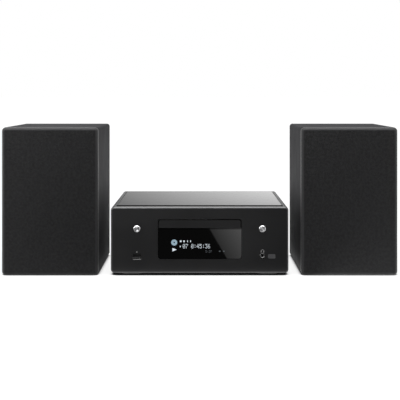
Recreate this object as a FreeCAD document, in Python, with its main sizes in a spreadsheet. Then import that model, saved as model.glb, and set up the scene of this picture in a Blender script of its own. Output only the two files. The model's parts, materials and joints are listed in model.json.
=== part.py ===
import FreeCAD, Part
import Sketcher
import math
import os

# Compact hi-fi system: a CD receiver between two bookshelf loudspeakers.
# Millimetres. +X to the viewer's right, +Y away from the viewer, +Z up.
# The origin is on the shelf, midway along the receiver's width and depth.

SIZES = {
    # receiver: outside
    "receiver_width": 280.0,
    "receiver_height": 108.0,
    "overall_depth": 305.0,
    "case_depth": 289.0,
    "foot_height": 4.0,
    "foot_radius": 17.0,
    "foot_inset": 32.0,
    "foot_bevel": 0.8,
    "sheet": 1.2,
    "flange_height": 14.0,
    "upright_drop": 2.0,
    "doorway_drop": 4.0,
    "bracket_lap": 12.0,
    "bracket_inset": 10.0,
    "vent_width": 4.0,
    "vent_length": 36.0,
    "vent_pitch": 9.0,
    "vent_start": -36.0,
    "vent_back": -60.0,
    "cover_wall": 1.2,
    "cover_gap": 1.0,
    "top_border": 8.0,
    "top_plate_thickness": 2.5,
    "top_web": 1.0,
    "plate_bevel": 0.4,
    "rear_rim": 3.0,
    "fit_gap": 0.3,
    # receiver: front
    "panel_depth": 12.0,
    "panel_wall": 4.0,
    "panel_rim": 3.0,
    "panel_corner": 5.5,
    "panel_edge": 3.0,
    "boss_inset": 12.0,
    "window_width": 132.0,
    "window_bottom": 25.7,
    "window_height": 63.2,
    "window_corner": 4.5,
    "window_recess": 0.5,
    "window_gap": 0.6,
    "window_flange": 4.0,
    "window_flange_thickness": 1.5,
    "tray_front_height": 15.5,
    "tray_front_depth": 6.0,
    "board_thickness": 1.6,
    "display_width": 112.0,
    "display_height": 36.0,
    "display_depth": 4.0,
    "display_board_reach": 20.0,
    "display_board_rim": 2.0,
    "display_board_drop": 3.0,
    "switch_side": 6.0,
    "switch_depth": 1.5,
    "switch_gap": 0.1,
    "button_spacing": 197.6,
    "button_height": 73.5,
    "button_radius": 5.2,
    "button_proud": 1.2,
    "button_flange": 7.0,
    "button_flange_thickness": 1.2,
    "button_stem": 2.0,
    "button_bevel": 0.8,
    "button_travel": 0.8,
    "socket_height": 31.0,
    "usb_width": 12.4,
    "usb_height": 5.2,
    "usb_shell": 0.7,
    "jack_radius": 4.3,
    "jack_bore": 1.8,
    "jack_depth": 9.0,
    # disc loader
    "tray_width": 124.0,
    "tray_length": 156.0,
    "tray_thickness": 8.0,
    "tray_rise": 2.6,
    "tray_travel": 132.0,
    "rail_width": 2.0,
    "rail_height": 3.0,
    "disc_radius": 60.0,
    "disc_play": 1.0,
    "disc_to_slot": 4.0,
    "disc_margin": 4.0,
    "disc_recess": 1.6,
    "small_disc_radius": 40.0,
    "small_disc_recess": 1.2,
    "slot_width": 40.0,
    "spindle_opening": 17.0,
    "gear_module": 1.0,
    "gear_teeth": 18,
    "gear_width": 4.5,
    "gear_bore": 2.0,
    "gear_inset": 18.5,
    "rack_drop": 1.4,
    "rack_end_teeth": 3,
    "tooth_overlap": 0.4,
    "gear_collar": 2.5,
    "backlash": 0.3,
    "running_gap": 0.05,
    "loader_wall": 3.0,
    "loader_floor": 2.0,
    "loader_lip": 3.0,
    "loader_window_margin": 3.0,
    "front_play": 2.0,
    "tray_rear_room": 10.2,
    "lift_clearance": 1.6,
    "bridge_width": 42.0,
    "bridge_thickness": 1.6,
    "bridge_rise": 4.0,
    "bracket_spread": 80.0,
    "traverse_width": 68.0,
    "traverse_front": 20.0,
    "traverse_rear_room": 29.0,
    "traverse_thickness": 2.5,
    "rod_frame": 6.0,
    "arm_width": 5.0,
    "disc_raise": 1.0,
    "spindle_clearance": 0.5,
    "guide_pin": 2.0,
    "lug_radius": 4.5,
    "rod_radius": 1.5,
    "rod_spread": 17.0,
    "sled_length": 22.0,
    "sled_height": 5.0,
    "sled_play": 1.0,
    "ear_inset": 3.0,
    "ear_wall": 1.4,
    "lens_drop": 2.0,
    "sled_start": 25.0,
    "sled_travel": 34.0,
    "lens_radius": 3.5,
    "turntable_radius": 14.5,
    "turntable_thickness": 3.0,
    "cone_radius": 7.4,
    "cone_height": 2.5,
    "cone_taper": 2.4,
    "motor_radius": 12.0,
    "motor_height": 9.0,
    "motor_rise": 1.0,
    "motor_floor": 2.0,
    "shaft_clearance": 0.5,
    "shaft_radius": 1.0,
    "clamper_radius": 15.0,
    "clamper_neck": 10.0,
    "clamper_thickness": 2.2,
    "clamper_drop": 0.4,
    "clamper_lip": 3.0,
    "clamper_cap": 1.5,
    "clamper_socket_play": 1.0,
    # receiver: inside and rear
    "board_height": 12.0,
    "main_board_half": 71.0,
    "main_board_inset": 12.0,
    "board_post_inset": 10.0,
    "chip_side": 24.0,
    "chip_height": 2.0,
    "tuner_width": 16.0,
    "tuner_depth": 10.0,
    "tuner_height": 12.0,
    "can_radius": 8.0,
    "can_height": 22.0,
    "can_across": -20.0,
    "can_back": 40.0,
    "can_pitch": 20.0,
    "supply_half": 19.0,
    "supply_front_room": 60.0,
    "supply_rear_room": 24.0,
    "supply_inset": 14.0,
    "transformer_width": 34.0,
    "transformer_depth": 36.0,
    "transformer_height": 30.0,
    "transformer_room": 22.0,
    "choke_width": 20.0,
    "choke_depth": 24.0,
    "choke_height": 16.0,
    "reservoir_radius": 11.0,
    "reservoir_height": 32.0,
    "part_gap": 8.0,
    "heatsink_front": 10.0,
    "heatsink_wall": 4.0,
    "heatsink_height": 62.0,
    "fin_thickness": 1.6,
    "fin_pitch": 9.8,
    "standoff_radius": 3.0,
    "screw_up": 7.0,
    "screw_front_room": 60.0,
    "screw_rear_room": 50.0,
    "rear_row_up": 22.0,
    "post_pitch": 19.0,
    "post_row_height": 62.0,
    "post_radius": 2.9,
    "post_bore": 2.0,
    "post_bore_depth": 11.0,
    "post_plate_rim": 3.0,
    "post_block_depth": 8.0,
    "post_block_height": 18.0,
    "post_block_end": 8.0,
    "post_inset": 54.0,
    "thread_length": 9.5,
    "cap_radius": 6.4,
    "cap_length": 11.0,
    "cap_travel": 4.0,
    "cap_end_wall": 1.2,
    "cap_start": 0.5,
    "cap_step": 0.6,
    "plug_hole": 2.3,
    "cap_sides": 12,
    "phono_radius": 4.15,
    "phono_bore": 1.6,
    "phono_length": 8.0,
    "phono_pitch": 14.0,
    "phono_block_rim": 7.0,
    "phono_block_depth": 12.0,
    "phono_proud": 1.0,
    "phono_up": 21.0,
    "phono_across": -38.0,
    "network_width": 11.8,
    "network_height": 8.0,
    "network_wall": 2.0,
    "network_rim": 2.5,
    "socket_depth": 14.0,
    "socket_proud": 0.8,
    "optical_width": 10.0,
    "optical_across": 28.0,
    "optical_height": 12.0,
    "shutter_depth": 0.6,
    "shutter_height": 8.0,
    "shutter_offset": 6.5,
    "shutter_rim": 1.0,
    "optical_wall": 2.5,
    "antenna_radius": 4.75,
    "antenna_across": 56.0,
    "antenna_wall": 1.2,
    "antenna_length": 8.0,
    "inlet_width": 17.0,
    "inlet_height": 8.6,
    "inlet_wall": 2.5,
    "inlet_depth": 12.0,
    "inlet_floor": 3.0,
    "inlet_inset": 30.0,
    "pin_radius": 1.2,
    "pin_pitch": 8.6,
    "pin_length": 7.0,
    "screw_head": 3.0,
    "screw_proud": 1.4,
    "screw_shank": 1.4,
    "screw_length": 6.0,
    "rear_vent_across": -70.0,
    "rear_vent_drop": 24.0,
    "rear_vent_width": 3.0,
    "rear_vent_length": 30.0,
    "rear_vent_pitch": 8.0,
    # loudspeakers
    "speaker_offset": 236.0,
    "speaker_width": 152.0,
    "speaker_height": 233.0,
    "speaker_depth": 234.0,
    "speaker_wall": 12.0,
    "speaker_edge": 5.0,
    "baffle_thickness": 15.0,
    "grille_depth": 13.0,
    "grille_gap": 1.2,
    "grille_edge": 5.5,
    "cloth_thickness": 0.8,
    "grille_bar": 14.0,
    "grille_cross_bar": 6.0,
    "grille_corner_extra": 0.5,
    "peg_radius": 3.0,
    "peg_length": 8.0,
    "peg_inset": 16.0,
    "peg_socket_room": 1.0,
    "woofer_radius": 59.0,
    "woofer_flange": 3.0,
    "woofer_hole": 52.0,
    "gasket_width": 6.0,
    "gasket_depth": 1.2,
    "basket_wall": 2.0,
    "basket_straight": 7.0,
    "basket_base": 2.0,
    "basket_seat": 4.0,
    "basket_step": 7.0,
    "basket_neck": 2.1,
    "basket_window_start": 10.0,
    "basket_window_length": 16.0,
    "basket_window_width": 28.0,
    "woofer_depth": 45.0,
    "cone_outer": 42.0,
    "cone_inner": 13.0,
    "cone_depth": 22.0,
    "cone_wall": 1.0,
    "dust_cap_overlap": 4.0,
    "dust_cap_height": 4.2,
    "surround_landing": 2.5,
    "surround_thickness": 1.0,
    "roll_height": 3.4,
    "roll_gap": 0.6,
    "spider_setback": 30.0,
    "spider_thickness": 0.8,
    "woofer_travel": 3.0,
    "coil_radius": 12.9,
    "coil_wall": 0.5,
    "magnet_radius": 38.0,
    "magnet_depth": 20.0,
    "back_plate": 5.0,
    "magnet_step": 5.0,
    "pole_proud": 1.0,
    "magnet_gap": 0.7,
    "tweeter_radius": 32.0,
    "dome_radius": 12.7,
    "dome_height": 3.6,
    "dome_clearance": 0.8,
    "horn_width": 11.0,
    "horn_depth": 2.2,
    "dome_seat_depth": 1.4,
    "dome_skirt": 0.6,
    "dome_travel": 0.3,
    "tweeter_magnet": 22.0,
    "tweeter_depth": 20.0,
    "port_drop": 51.0,
    "port_radius": 18.0,
    "port_wall": 2.0,
    "port_length": 92.0,
    "port_flange": 7.0,
    "port_lip": 2.0,
    "port_flare": 4.0,
    "cup_rise": 28.0,
    "cup_post_spread": 15.2,
    "cup_width": 62.0,
    "cup_length": 76.0,
    "cup_depth": 15.0,
    "cup_wall": 2.0,
    "cup_flange": 5.0,
}

document = FreeCAD.newDocument("HifiSystem")
sheet = document.addObject("Spreadsheet::Sheet", "Sizes")
for row, (alias, number) in enumerate(SIZES.items(), start=1):
    sheet.set(f"A{row}", alias)
    sheet.set(f"B{row}", str(number))
    sheet.setAlias(f"B{row}", alias)
document.recompute()


class Size:
    """A number together with the sheet expression that gives it."""

    def __init__(self, number, text):
        self.number = number
        self.text = text

    def join(self, sign, other, number):
        return Size(number, f"({self.text} {sign} {text_of(other)})")

    def __float__(self):
        return float(self.number)

    def __add__(self, other):
        return self.join("+", other, float(self) + float(other))

    def __sub__(self, other):
        return self.join("-", other, float(self) - float(other))

    def __mul__(self, other):
        return self.join("*", other, float(self) * float(other))

    def __truediv__(self, other):
        return self.join("/", other, float(self) / float(other))

    def __neg__(self):
        return Size(-float(self), f"(-{self.text})")

    def __radd__(self, other):
        return self + other

    def __rsub__(self, other):
        return -self + other

    def __rmul__(self, other):
        return self * other


def text_of(size):
    return size.text if isinstance(size, Size) else f"({float(size):.9g})"


class Sheet:
    """The sheet's cells as attributes: size.sheet is the cell with that alias."""

    def __getattr__(self, alias):
        return Size(sheet.get(alias), f"Sizes.{alias}")


size = Sheet()


# ---- drawing helpers -------------------------------------------------------


class Via(tuple):
    """A point that an arc between its two neighbours passes through."""


CORNER = 1 - math.sqrt(0.5)


def box(left, bottom, right, top, corner=None):
    """Rectangle, or a rounded one where a corner radius is given."""
    if corner is None:
        return [(left, bottom), (right, bottom), (right, top), (left, top)]
    bite = corner * CORNER
    return [
        (left + corner, bottom),
        (right - corner, bottom),
        Via((right - bite, bottom + bite)),
        (right, bottom + corner),
        (right, top - corner),
        Via((right - bite, top - bite)),
        (right - corner, top),
        (left + corner, top),
        Via((left + bite, top - bite)),
        (left, top - corner),
        (left, bottom + corner),
        Via((left + bite, bottom + bite)),
    ]


def centred(across, up, width, height, corner=None):
    """Rectangle about a centre."""
    left = across - width / 2
    low = up - height / 2
    return box(left, low, left + width, low + height, corner)


def disc(across, up, radius):
    return ("disc", across, up, radius)


def ring_points(across, up, radius, count, turn=0.0):
    """Points spread evenly round a circle, for a loop of small features."""
    steps = [turn + 2 * math.pi * step / count for step in range(count)]
    return [(across + radius * math.cos(a), up + radius * math.sin(a)) for a in steps]


def vector(point):
    return FreeCAD.Vector(float(point[0]), float(point[1]), 0)


def bind(sketch, constraint, number):
    index = sketch.addConstraint(constraint)
    if isinstance(number, Size):
        sketch.setExpression(f"Constraints[{index}]", number.text)


def pin_point(sketch, geometry, position, point):
    """Holds a point of a sketch at its two coordinates."""
    for kind, number in zip(("DistanceX", "DistanceY"), point):
        rule = Sketcher.Constraint(kind, -1, 1, geometry, position, float(number))
        bind(sketch, rule, number)


def turns_left(start, middle, end):
    """True for an arc that runs anticlockwise, the only way a sketch holds one."""
    return (middle - start).cross(end - middle).z > 0


def draw(sketch, loop):
    """Adds one closed loop: a disc, or straight runs and arcs through Via points."""
    if loop[0] == "disc":
        centre, radius = loop[1:3], loop[3]
        index = sketch.addGeometry(
            Part.Circle(vector(centre), FreeCAD.Vector(0, 0, 1), float(radius)), False
        )
        pin_point(sketch, index, 3, centre)
        bind(sketch, Sketcher.Constraint("Radius", index, float(radius)), radius)
        return
    count = len(loop)
    corners = [i for i in range(count) if not isinstance(loop[i], Via)]
    edges = []
    for i in corners:
        after = loop[(i + 1) % count]
        if isinstance(after, Via):
            points = [vector(loop[i]), vector(after), vector(loop[(i + 2) % count])]
            leftward = turns_left(*points)
            arc = Part.Arc(*(points if leftward else reversed(points)))
            index = sketch.addGeometry(arc, False)
            middle = sketch.addGeometry(Part.Point(points[1]), True)
            edges.append((index, 1, 2) if leftward else (index, 2, 1))
            pin_point(sketch, middle, 1, after)
            sketch.addConstraint(
                Sketcher.Constraint("PointOnObject", middle, 1, index)
            )
        else:
            line = Part.LineSegment(vector(loop[i]), vector(after))
            edges.append((sketch.addGeometry(line, False), 1, 2))
    for place, (i, (index, start, _)) in enumerate(zip(corners, edges)):
        before, _, end = edges[place - 1]
        sketch.addConstraint(
            Sketcher.Constraint("Coincident", before, end, index, start)
        )
        pin_point(sketch, index, start, loop[i])


PLANES = {"X": "YZ_Plane", "Y": "XZ_Plane", "Z": "XY_Plane"}


def sketch_on(target, axis, at, loops):
    """Sketch square to an axis. Its coordinates are (y, z), (x, z) or (x, y)."""
    planes = target.Origin.OriginFeatures
    plane = next(item for item in planes if item.Role == PLANES[axis])
    sketch = target.newObject("Sketcher::SketchObject", "Sketch")
    sketch.AttachmentSupport = (plane, [""])
    sketch.MapMode = "FlatFace"
    offset = -at if axis == "Y" else at
    if isinstance(offset, Size):
        sketch.setExpression("AttachmentOffset.Base.z", offset.text)
    else:
        sketch.AttachmentOffset.Base.z = offset
    for loop in loops:
        draw(sketch, loop)
    return sketch


def extrude(target, kind, axis, low, high, loops):
    feature_sketch = sketch_on(target, axis, low, loops)
    feature = target.newObject(f"PartDesign::{kind}", kind)
    feature.Profile = (feature_sketch, [""])
    feature.setExpression("Length", text_of(high - low))
    against_normal = axis == "Y"
    feature.Reversed = against_normal if kind == "Pad" else not against_normal
    target.Tip = feature
    return feature


def pad(target, axis, low, high, *loops):
    return extrude(target, "Pad", axis, low, high, loops)


def pocket(target, axis, low, high, *loops):
    return extrude(target, "Pocket", axis, low, high, loops)


def turned(target, kind, about, loops):
    """Revolves loops of (y, radius) about Y, or of (radius, z) about Z."""
    plane, line = {"Y": ("X", "H_Axis"), "Z": ("Y", "V_Axis")}[about]
    profile = sketch_on(target, plane, 0.0, loops)
    feature = target.newObject(f"PartDesign::{kind}", kind)
    feature.Profile = (profile, [""])
    feature.ReferenceAxis = (profile, [line])
    feature.Angle = 360.0
    target.Tip = feature
    return feature


def revolve(target, about, *loops):
    return turned(target, "Revolution", about, loops)


def origin_axis(target, axis):
    return next(
        item for item in target.Origin.OriginFeatures if item.Role == f"{axis}_Axis"
    )


def repeat_along(target, feature, axis, pitch, count):
    pattern = target.newObject("PartDesign::LinearPattern", "Row")
    pattern.Originals = [feature]
    pattern.Direction = (origin_axis(target, axis), [""])
    pattern.Mode = "Spacing"
    pattern.setExpression("Offset", text_of(pitch))
    pattern.Occurrences = count
    target.Tip = pattern
    return pattern


def repeat_around(target, feature, axis, count):
    pattern = target.newObject("PartDesign::PolarPattern", "Ring")
    pattern.Originals = [feature]
    pattern.Axis = (origin_axis(target, axis), [""])
    pattern.Angle = 360.0
    pattern.Occurrences = count
    target.Tip = pattern
    return pattern


def dress(target, kind, key, amount, pick):
    """Fillets or chamfers the edges of the body so far that pick says yes to."""
    document.recompute()
    base = target.Tip
    names = [
        f"Edge{number}"
        for number, edge in enumerate(base.Shape.Edges, start=1)
        if pick(edge)
    ]
    if not names:
        raise ValueError(f"{target.Label}: no edge to round")
    feature = target.newObject(f"PartDesign::{kind}", kind)
    feature.Base = (base, names)
    feature.setExpression(key, text_of(amount))
    target.Tip = feature
    return feature


def fillet(target, radius, pick):
    return dress(target, "Fillet", "Radius", radius, pick)


def chamfer(target, amount, pick):
    return dress(target, "Chamfer", "Size", amount, pick)


def span(edge, axis):
    bounds = edge.BoundBox
    return getattr(bounds, f"{axis}Min"), getattr(bounds, f"{axis}Max")


def lies_at(axis, *places):
    """Picks the edges that lie in one of the planes square to an axis."""

    def pick(edge):
        low, high = span(edge, axis)
        return any(
            abs(low - float(at)) < 0.01 and abs(high - float(at)) < 0.01
            for at in places
        )

    return pick


def runs_along(axis, where=lambda middle: True):
    """Picks the straight edges that run along an axis."""

    def pick(edge):
        if len(edge.Vertexes) < 2 or edge.Curve.TypeId != "Part::GeomLine":
            return False
        if abs(getattr(edge.tangentAt(edge.FirstParameter), axis.lower())) < 0.999:
            return False
        return where(edge.CenterOfMass)

    return pick


def both(*tests):
    return lambda edge: all(test(edge) for test in tests)


bodies = []


def body(label, across=0.0, back=0.0, up=0.0):
    """New sub-part, placed by the sheet."""
    target = document.addObject("PartDesign::Body", label)
    target.Label = label
    target.AllowCompound = True
    for letter, at in zip("xyz", (across, back, up)):
        target.setExpression(f"Placement.Base.{letter}", text_of(at))
    bodies.append(target)
    return target


SIDES = (-1, 1)
NOTHING = Size(0.0, "0")
PRESSURE_ANGLE = math.radians(20.0)
ROOT_DEPTH = 1.25

# ---- lines that the receiver's pieces share --------------------------------

front = -size.overall_depth / 2
rear = front + size.case_depth
half_width = size.receiver_width / 2
top = size.receiver_height
floor = size.foot_height
pan_top = floor + size.sheet
panel_back = front + size.panel_depth
panel_inner = front + size.panel_wall
subframe_back = panel_back + size.sheet
cover_front = panel_back + size.cover_gap
cover_inside = top - size.top_plate_thickness - size.top_web
case_half = half_width - size.cover_wall
rear_inner = rear - size.sheet

window_half = size.window_width / 2
window_top = size.window_bottom + size.window_height
tray_line = window_top - size.tray_front_height
button_half = size.button_spacing / 2
board_front = front + size.panel_wall + size.window_flange_thickness + size.display_depth
board_back = board_front + size.board_thickness
switch_front = board_front - size.switch_depth
circuit_top = size.board_height + size.board_thickness

tray_front_back = front + size.tray_front_depth
tray_bottom = tray_line + size.tray_rise
tray_top = tray_bottom + size.tray_thickness
disc_back = tray_front_back + size.disc_margin + size.disc_radius + size.disc_play
pitch_radius = size.gear_module * size.gear_teeth / 2
tooth_pitch = size.gear_module * math.pi
rack_outer = size.tray_width / 2
rack_line = rack_outer - 5.0 * size.gear_module
gear_across = rack_line - pitch_radius
gear_back = front + size.gear_inset
gear_outer = pitch_radius + size.gear_module
rack_bottom = tray_bottom - size.rack_drop
gear_top = rack_bottom + size.gear_width
rack_roof = gear_top + 2 * size.fit_gap
loader_front = subframe_back
tray_back = tray_front_back + size.tray_length
sled_back = disc_back + size.sled_start
traverse_far = sled_back + size.sled_travel + size.traverse_rear_room
tray_room_back = tray_back + size.tray_rear_room
traverse_room_back = traverse_far + size.loader_window_margin
loader_back = max(tray_room_back, traverse_room_back, key=float) + size.loader_wall
loader_inner = size.tray_width / 2 + size.rail_width + size.fit_gap
loader_outer = loader_inner + size.loader_wall
seat_up = tray_bottom - size.cone_height - size.spindle_clearance
traverse_lift = tray_top - size.disc_recess + size.disc_raise - seat_up
traverse_room = traverse_lift + size.traverse_thickness + size.fit_gap
loader_floor_top = tray_bottom - traverse_room - size.lift_clearance
loader_base = loader_floor_top - size.loader_floor
traverse_base = loader_floor_top + size.fit_gap
traverse_top = traverse_base + size.traverse_thickness

post_out = rear + size.sheet * 2
post_length = size.thread_length + size.cap_travel


# ---- receiver: case --------------------------------------------------------


def front_panel():
    part = body("front_panel")
    outline = box(-half_width, floor, half_width, top, size.panel_corner)
    pad(part, "Y", front, panel_back, outline)
    fillet(part, size.panel_edge, lies_at("Y", front))
    rim = size.panel_rim
    hollow = box(
        -half_width + rim, floor + rim, half_width - rim, top - rim, size.panel_corner - rim
    )
    pocket(part, "Y", panel_inner, panel_back, hollow)
    window = box(
        -window_half, size.window_bottom, window_half, window_top, size.window_corner
    )
    holes = [
        disc(side * button_half, size.button_height, size.button_radius + size.fit_gap)
        for side in SIDES
    ]
    usb = centred(
        -button_half,
        size.socket_height,
        size.usb_width + 2 * (size.usb_shell + size.fit_gap),
        size.usb_height + 2 * (size.usb_shell + size.fit_gap),
    )
    jack = disc(button_half, size.socket_height, size.jack_radius + size.fit_gap)
    pocket(part, "Y", front, panel_inner, window, usb, jack, *holes)
    bosses = [
        disc(side * (half_width - size.boss_inset), up, size.standoff_radius)
        for side in SIDES
        for up in (floor + size.boss_inset, top - size.boss_inset)
    ]
    pad(part, "Y", panel_inner, panel_back, *bosses)


def display_window():
    part = body("display_window")
    gap = size.window_gap
    face = front + size.window_recess
    seat = panel_inner + size.window_flange_thickness
    glass = box(
        -window_half + gap, size.window_bottom + gap, window_half - gap, tray_line - gap
    )
    pad(part, "Y", face, panel_inner, glass)
    lower_corners = both(
        runs_along("Y"), lambda edge: edge.CenterOfMass.z < float(size.socket_height)
    )
    fillet(part, size.window_corner - gap, lower_corners)
    reach = size.window_flange
    flange = box(
        -window_half - reach,
        size.window_bottom - reach,
        window_half + reach,
        tray_line - gap,
    )
    pad(part, "Y", panel_inner, seat, flange)


def display_board():
    """Front circuit board with the display, its frame and the two key switches."""
    part = body("display_board")
    half = button_half + size.display_board_reach
    notch = loader_outer
    shelf = tray_line - size.display_board_drop
    low = size.window_bottom - size.window_flange
    high = size.button_height + size.button_flange + size.display_board_rim
    outline = [
        (-half, low),
        (half, low),
        (half, high),
        (notch, high),
        (notch, shelf),
        (-notch, shelf),
        (-notch, high),
        (-half, high),
    ]
    pad(part, "Y", board_front, board_back, outline)
    middle = (size.window_bottom + tray_line) / 2
    cell = centred(0.0, middle, size.display_width, size.display_height)
    pad(part, "Y", board_front - size.display_depth, board_front, cell)
    for side in SIDES:
        key = (side * button_half, size.button_height)
        switch = centred(*key, size.switch_side, size.switch_side)
        pad(part, "Y", switch_front, board_front, switch)


def button(label, side):
    part = body(label, side * button_half, front, size.button_height)
    cap_back = size.panel_wall
    flange_back = cap_back + size.button_flange_thickness
    stem_back = switch_front - size.button_travel - size.switch_gap - front
    profile = [
        (-size.button_proud, 0.0),
        (-size.button_proud, size.button_radius - size.button_bevel),
        (size.button_bevel - size.button_proud, size.button_radius),
        (cap_back, size.button_radius),
        (cap_back, size.button_flange),
        (flange_back, size.button_flange),
        (flange_back, size.button_stem),
        (stem_back, size.button_stem),
        (stem_back, 0.0),
    ]
    revolve(part, "Y", profile)


def usb_socket():
    part = body("usb_socket")
    mouth = front + size.window_recess
    shell = 2 * size.usb_shell
    place = (-button_half, size.socket_height)
    outer = centred(*place, size.usb_width + shell, size.usb_height + shell)
    pad(part, "Y", mouth, board_front, outer)
    inner = centred(*place, size.usb_width, size.usb_height)
    pocket(part, "Y", mouth, board_front - size.usb_shell, inner)


def headphone_jack():
    part = body("headphone_jack", button_half, front, size.socket_height)
    back = board_front - front
    profile = [
        (-size.fit_gap, size.jack_bore),
        (-size.fit_gap, size.jack_radius),
        (back, size.jack_radius),
        (back, 0.0),
        (size.jack_depth - size.fit_gap, 0.0),
        (size.jack_depth - size.fit_gap, size.jack_bore),
    ]
    revolve(part, "Y", profile)


def chassis_pan():
    """Folded steel pan with its front upright, board posts and loader brackets."""
    part = body("chassis_pan")
    pad(part, "Z", floor, pan_top, box(-case_half, panel_back, case_half, rear))
    for side in SIDES:
        outer, inner = side * case_half, side * (case_half - size.sheet)
        left, right = (outer, inner) if side < 0 else (inner, outer)
        strip = box(left, subframe_back, right, rear_inner)
        pad(part, "Z", pan_top, pan_top + size.flange_height, strip)
    upright_top = cover_inside - size.upright_drop
    upright = box(-case_half, pan_top, case_half, upright_top)
    pad(part, "Y", panel_back, subframe_back, upright)
    sill = rack_bottom - size.doorway_drop
    doorway = box(-loader_outer, sill, loader_outer, upright_top)
    pocket(part, "Y", panel_back, subframe_back, doorway)
    spread = size.bracket_spread
    toe = spread + size.bracket_lap
    reach = loader_outer - size.bracket_lap
    for side in SIDES:
        leg = [
            (side * toe, pan_top),
            (side * toe, pan_top + size.sheet),
            (side * spread, pan_top + size.sheet),
            (side * spread, loader_base),
            (side * reach, loader_base),
            (side * reach, loader_base - size.sheet),
            (side * (spread - size.sheet), loader_base - size.sheet),
            (side * (spread - size.sheet), pan_top),
        ]
        pad(part, "Y", loader_front + size.bracket_inset, loader_back - size.bracket_inset, leg)
    inset = size.board_post_inset
    posts = [
        disc(side * (size.main_board_half - inset), back, size.standoff_radius)
        for side in SIDES
        for back in (main_front + inset, main_back - inset)
    ]
    posts += [
        disc(supply_middle, back, size.standoff_radius)
        for back in (supply_front + inset, supply_back - inset)
    ]
    pad(part, "Z", pan_top, size.board_height, *posts)
    vent = centred(size.vent_start, size.vent_back, size.vent_width, size.vent_length)
    row = pocket(part, "Z", floor, pan_top, vent)
    repeat_along(part, row, "X", size.vent_pitch, 9)
    clear = size.screw_shank + 2 * size.running_gap
    screws = [disc(back, screw_up, clear) for back in screw_places]
    pocket(part, "X", -case_half, case_half, *screws)


def feet():
    part = body("feet")
    half = half_width - size.foot_inset
    places = [
        (side * half, back)
        for side in SIDES
        for back in (front + size.foot_inset, rear - size.foot_inset)
    ]
    rounds = [disc(across, back, size.foot_radius) for across, back in places]
    pad(part, "Z", floor - size.foot_height, floor, *rounds)
    chamfer(part, size.foot_bevel, lies_at("Z", 0.0))


def top_cover():
    """Cover with rounded shoulders and a shallow seat for the gloss top plate."""
    part = body("top_cover")
    low = floor + size.fit_gap
    wall = size.cover_wall
    corner = size.panel_corner
    bite = corner * CORNER
    profile = [
        (-half_width, low),
        (-half_width + wall, low),
        (-half_width + wall, cover_inside),
        (half_width - wall, cover_inside),
        (half_width - wall, low),
        (half_width, low),
        (half_width, top - corner),
        Via((half_width - bite, top - bite)),
        (half_width - corner, top),
        (-half_width + corner, top),
        Via((-half_width + bite, top - bite)),
        (-half_width, top - corner),
    ]
    pad(part, "Y", cover_front, rear, profile)
    seat_half = half_width - size.top_border
    seat = box(-seat_half, cover_front, seat_half, rear - size.rear_rim)
    pocket(part, "Z", top - size.top_plate_thickness, top, seat)
    holes = [disc(back, screw_up, size.screw_shank + size.fit_gap) for back in screw_places]
    pocket(part, "X", -half_width, half_width, *holes)


def top_plate():
    part = body("top_plate")
    half = half_width - size.top_border - size.fit_gap
    plate = box(-half, cover_front, half, rear - size.rear_rim - size.fit_gap)
    pad(part, "Z", top - size.top_plate_thickness, top, plate)
    chamfer(part, size.plate_bevel, lies_at("Z", top))


def case_screws():
    """Four cover screws, two on each side."""
    part = body("case_screws")
    for side in SIDES:
        shanks = [disc(back, screw_up, size.screw_shank) for back in screw_places]
        heads = [disc(back, screw_up, size.screw_head) for back in screw_places]
        skin, tip = side * half_width, side * (half_width - size.screw_length)
        crown = side * (half_width + size.screw_proud)
        if side < 0:
            pad(part, "X", crown, skin, *heads)
            pad(part, "X", skin, tip, *shanks)
        else:
            pad(part, "X", skin, crown, *heads)
            pad(part, "X", tip, skin, *shanks)


# ---- receiver: disc loader -------------------------------------------------


def tray_front():
    part = body("tray_front")
    gap = size.window_gap
    face = box(
        -window_half + gap, tray_line + gap, window_half - gap, window_top - gap
    )
    pad(part, "Y", front, tray_front_back, face)
    upper_corners = both(
        runs_along("Y"), lambda edge: edge.CenterOfMass.z > float(tray_line + window_top) / 2
    )
    fillet(part, size.window_corner - gap, upper_corners)
    chamfer(part, size.plate_bevel, lies_at("Y", front))


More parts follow.
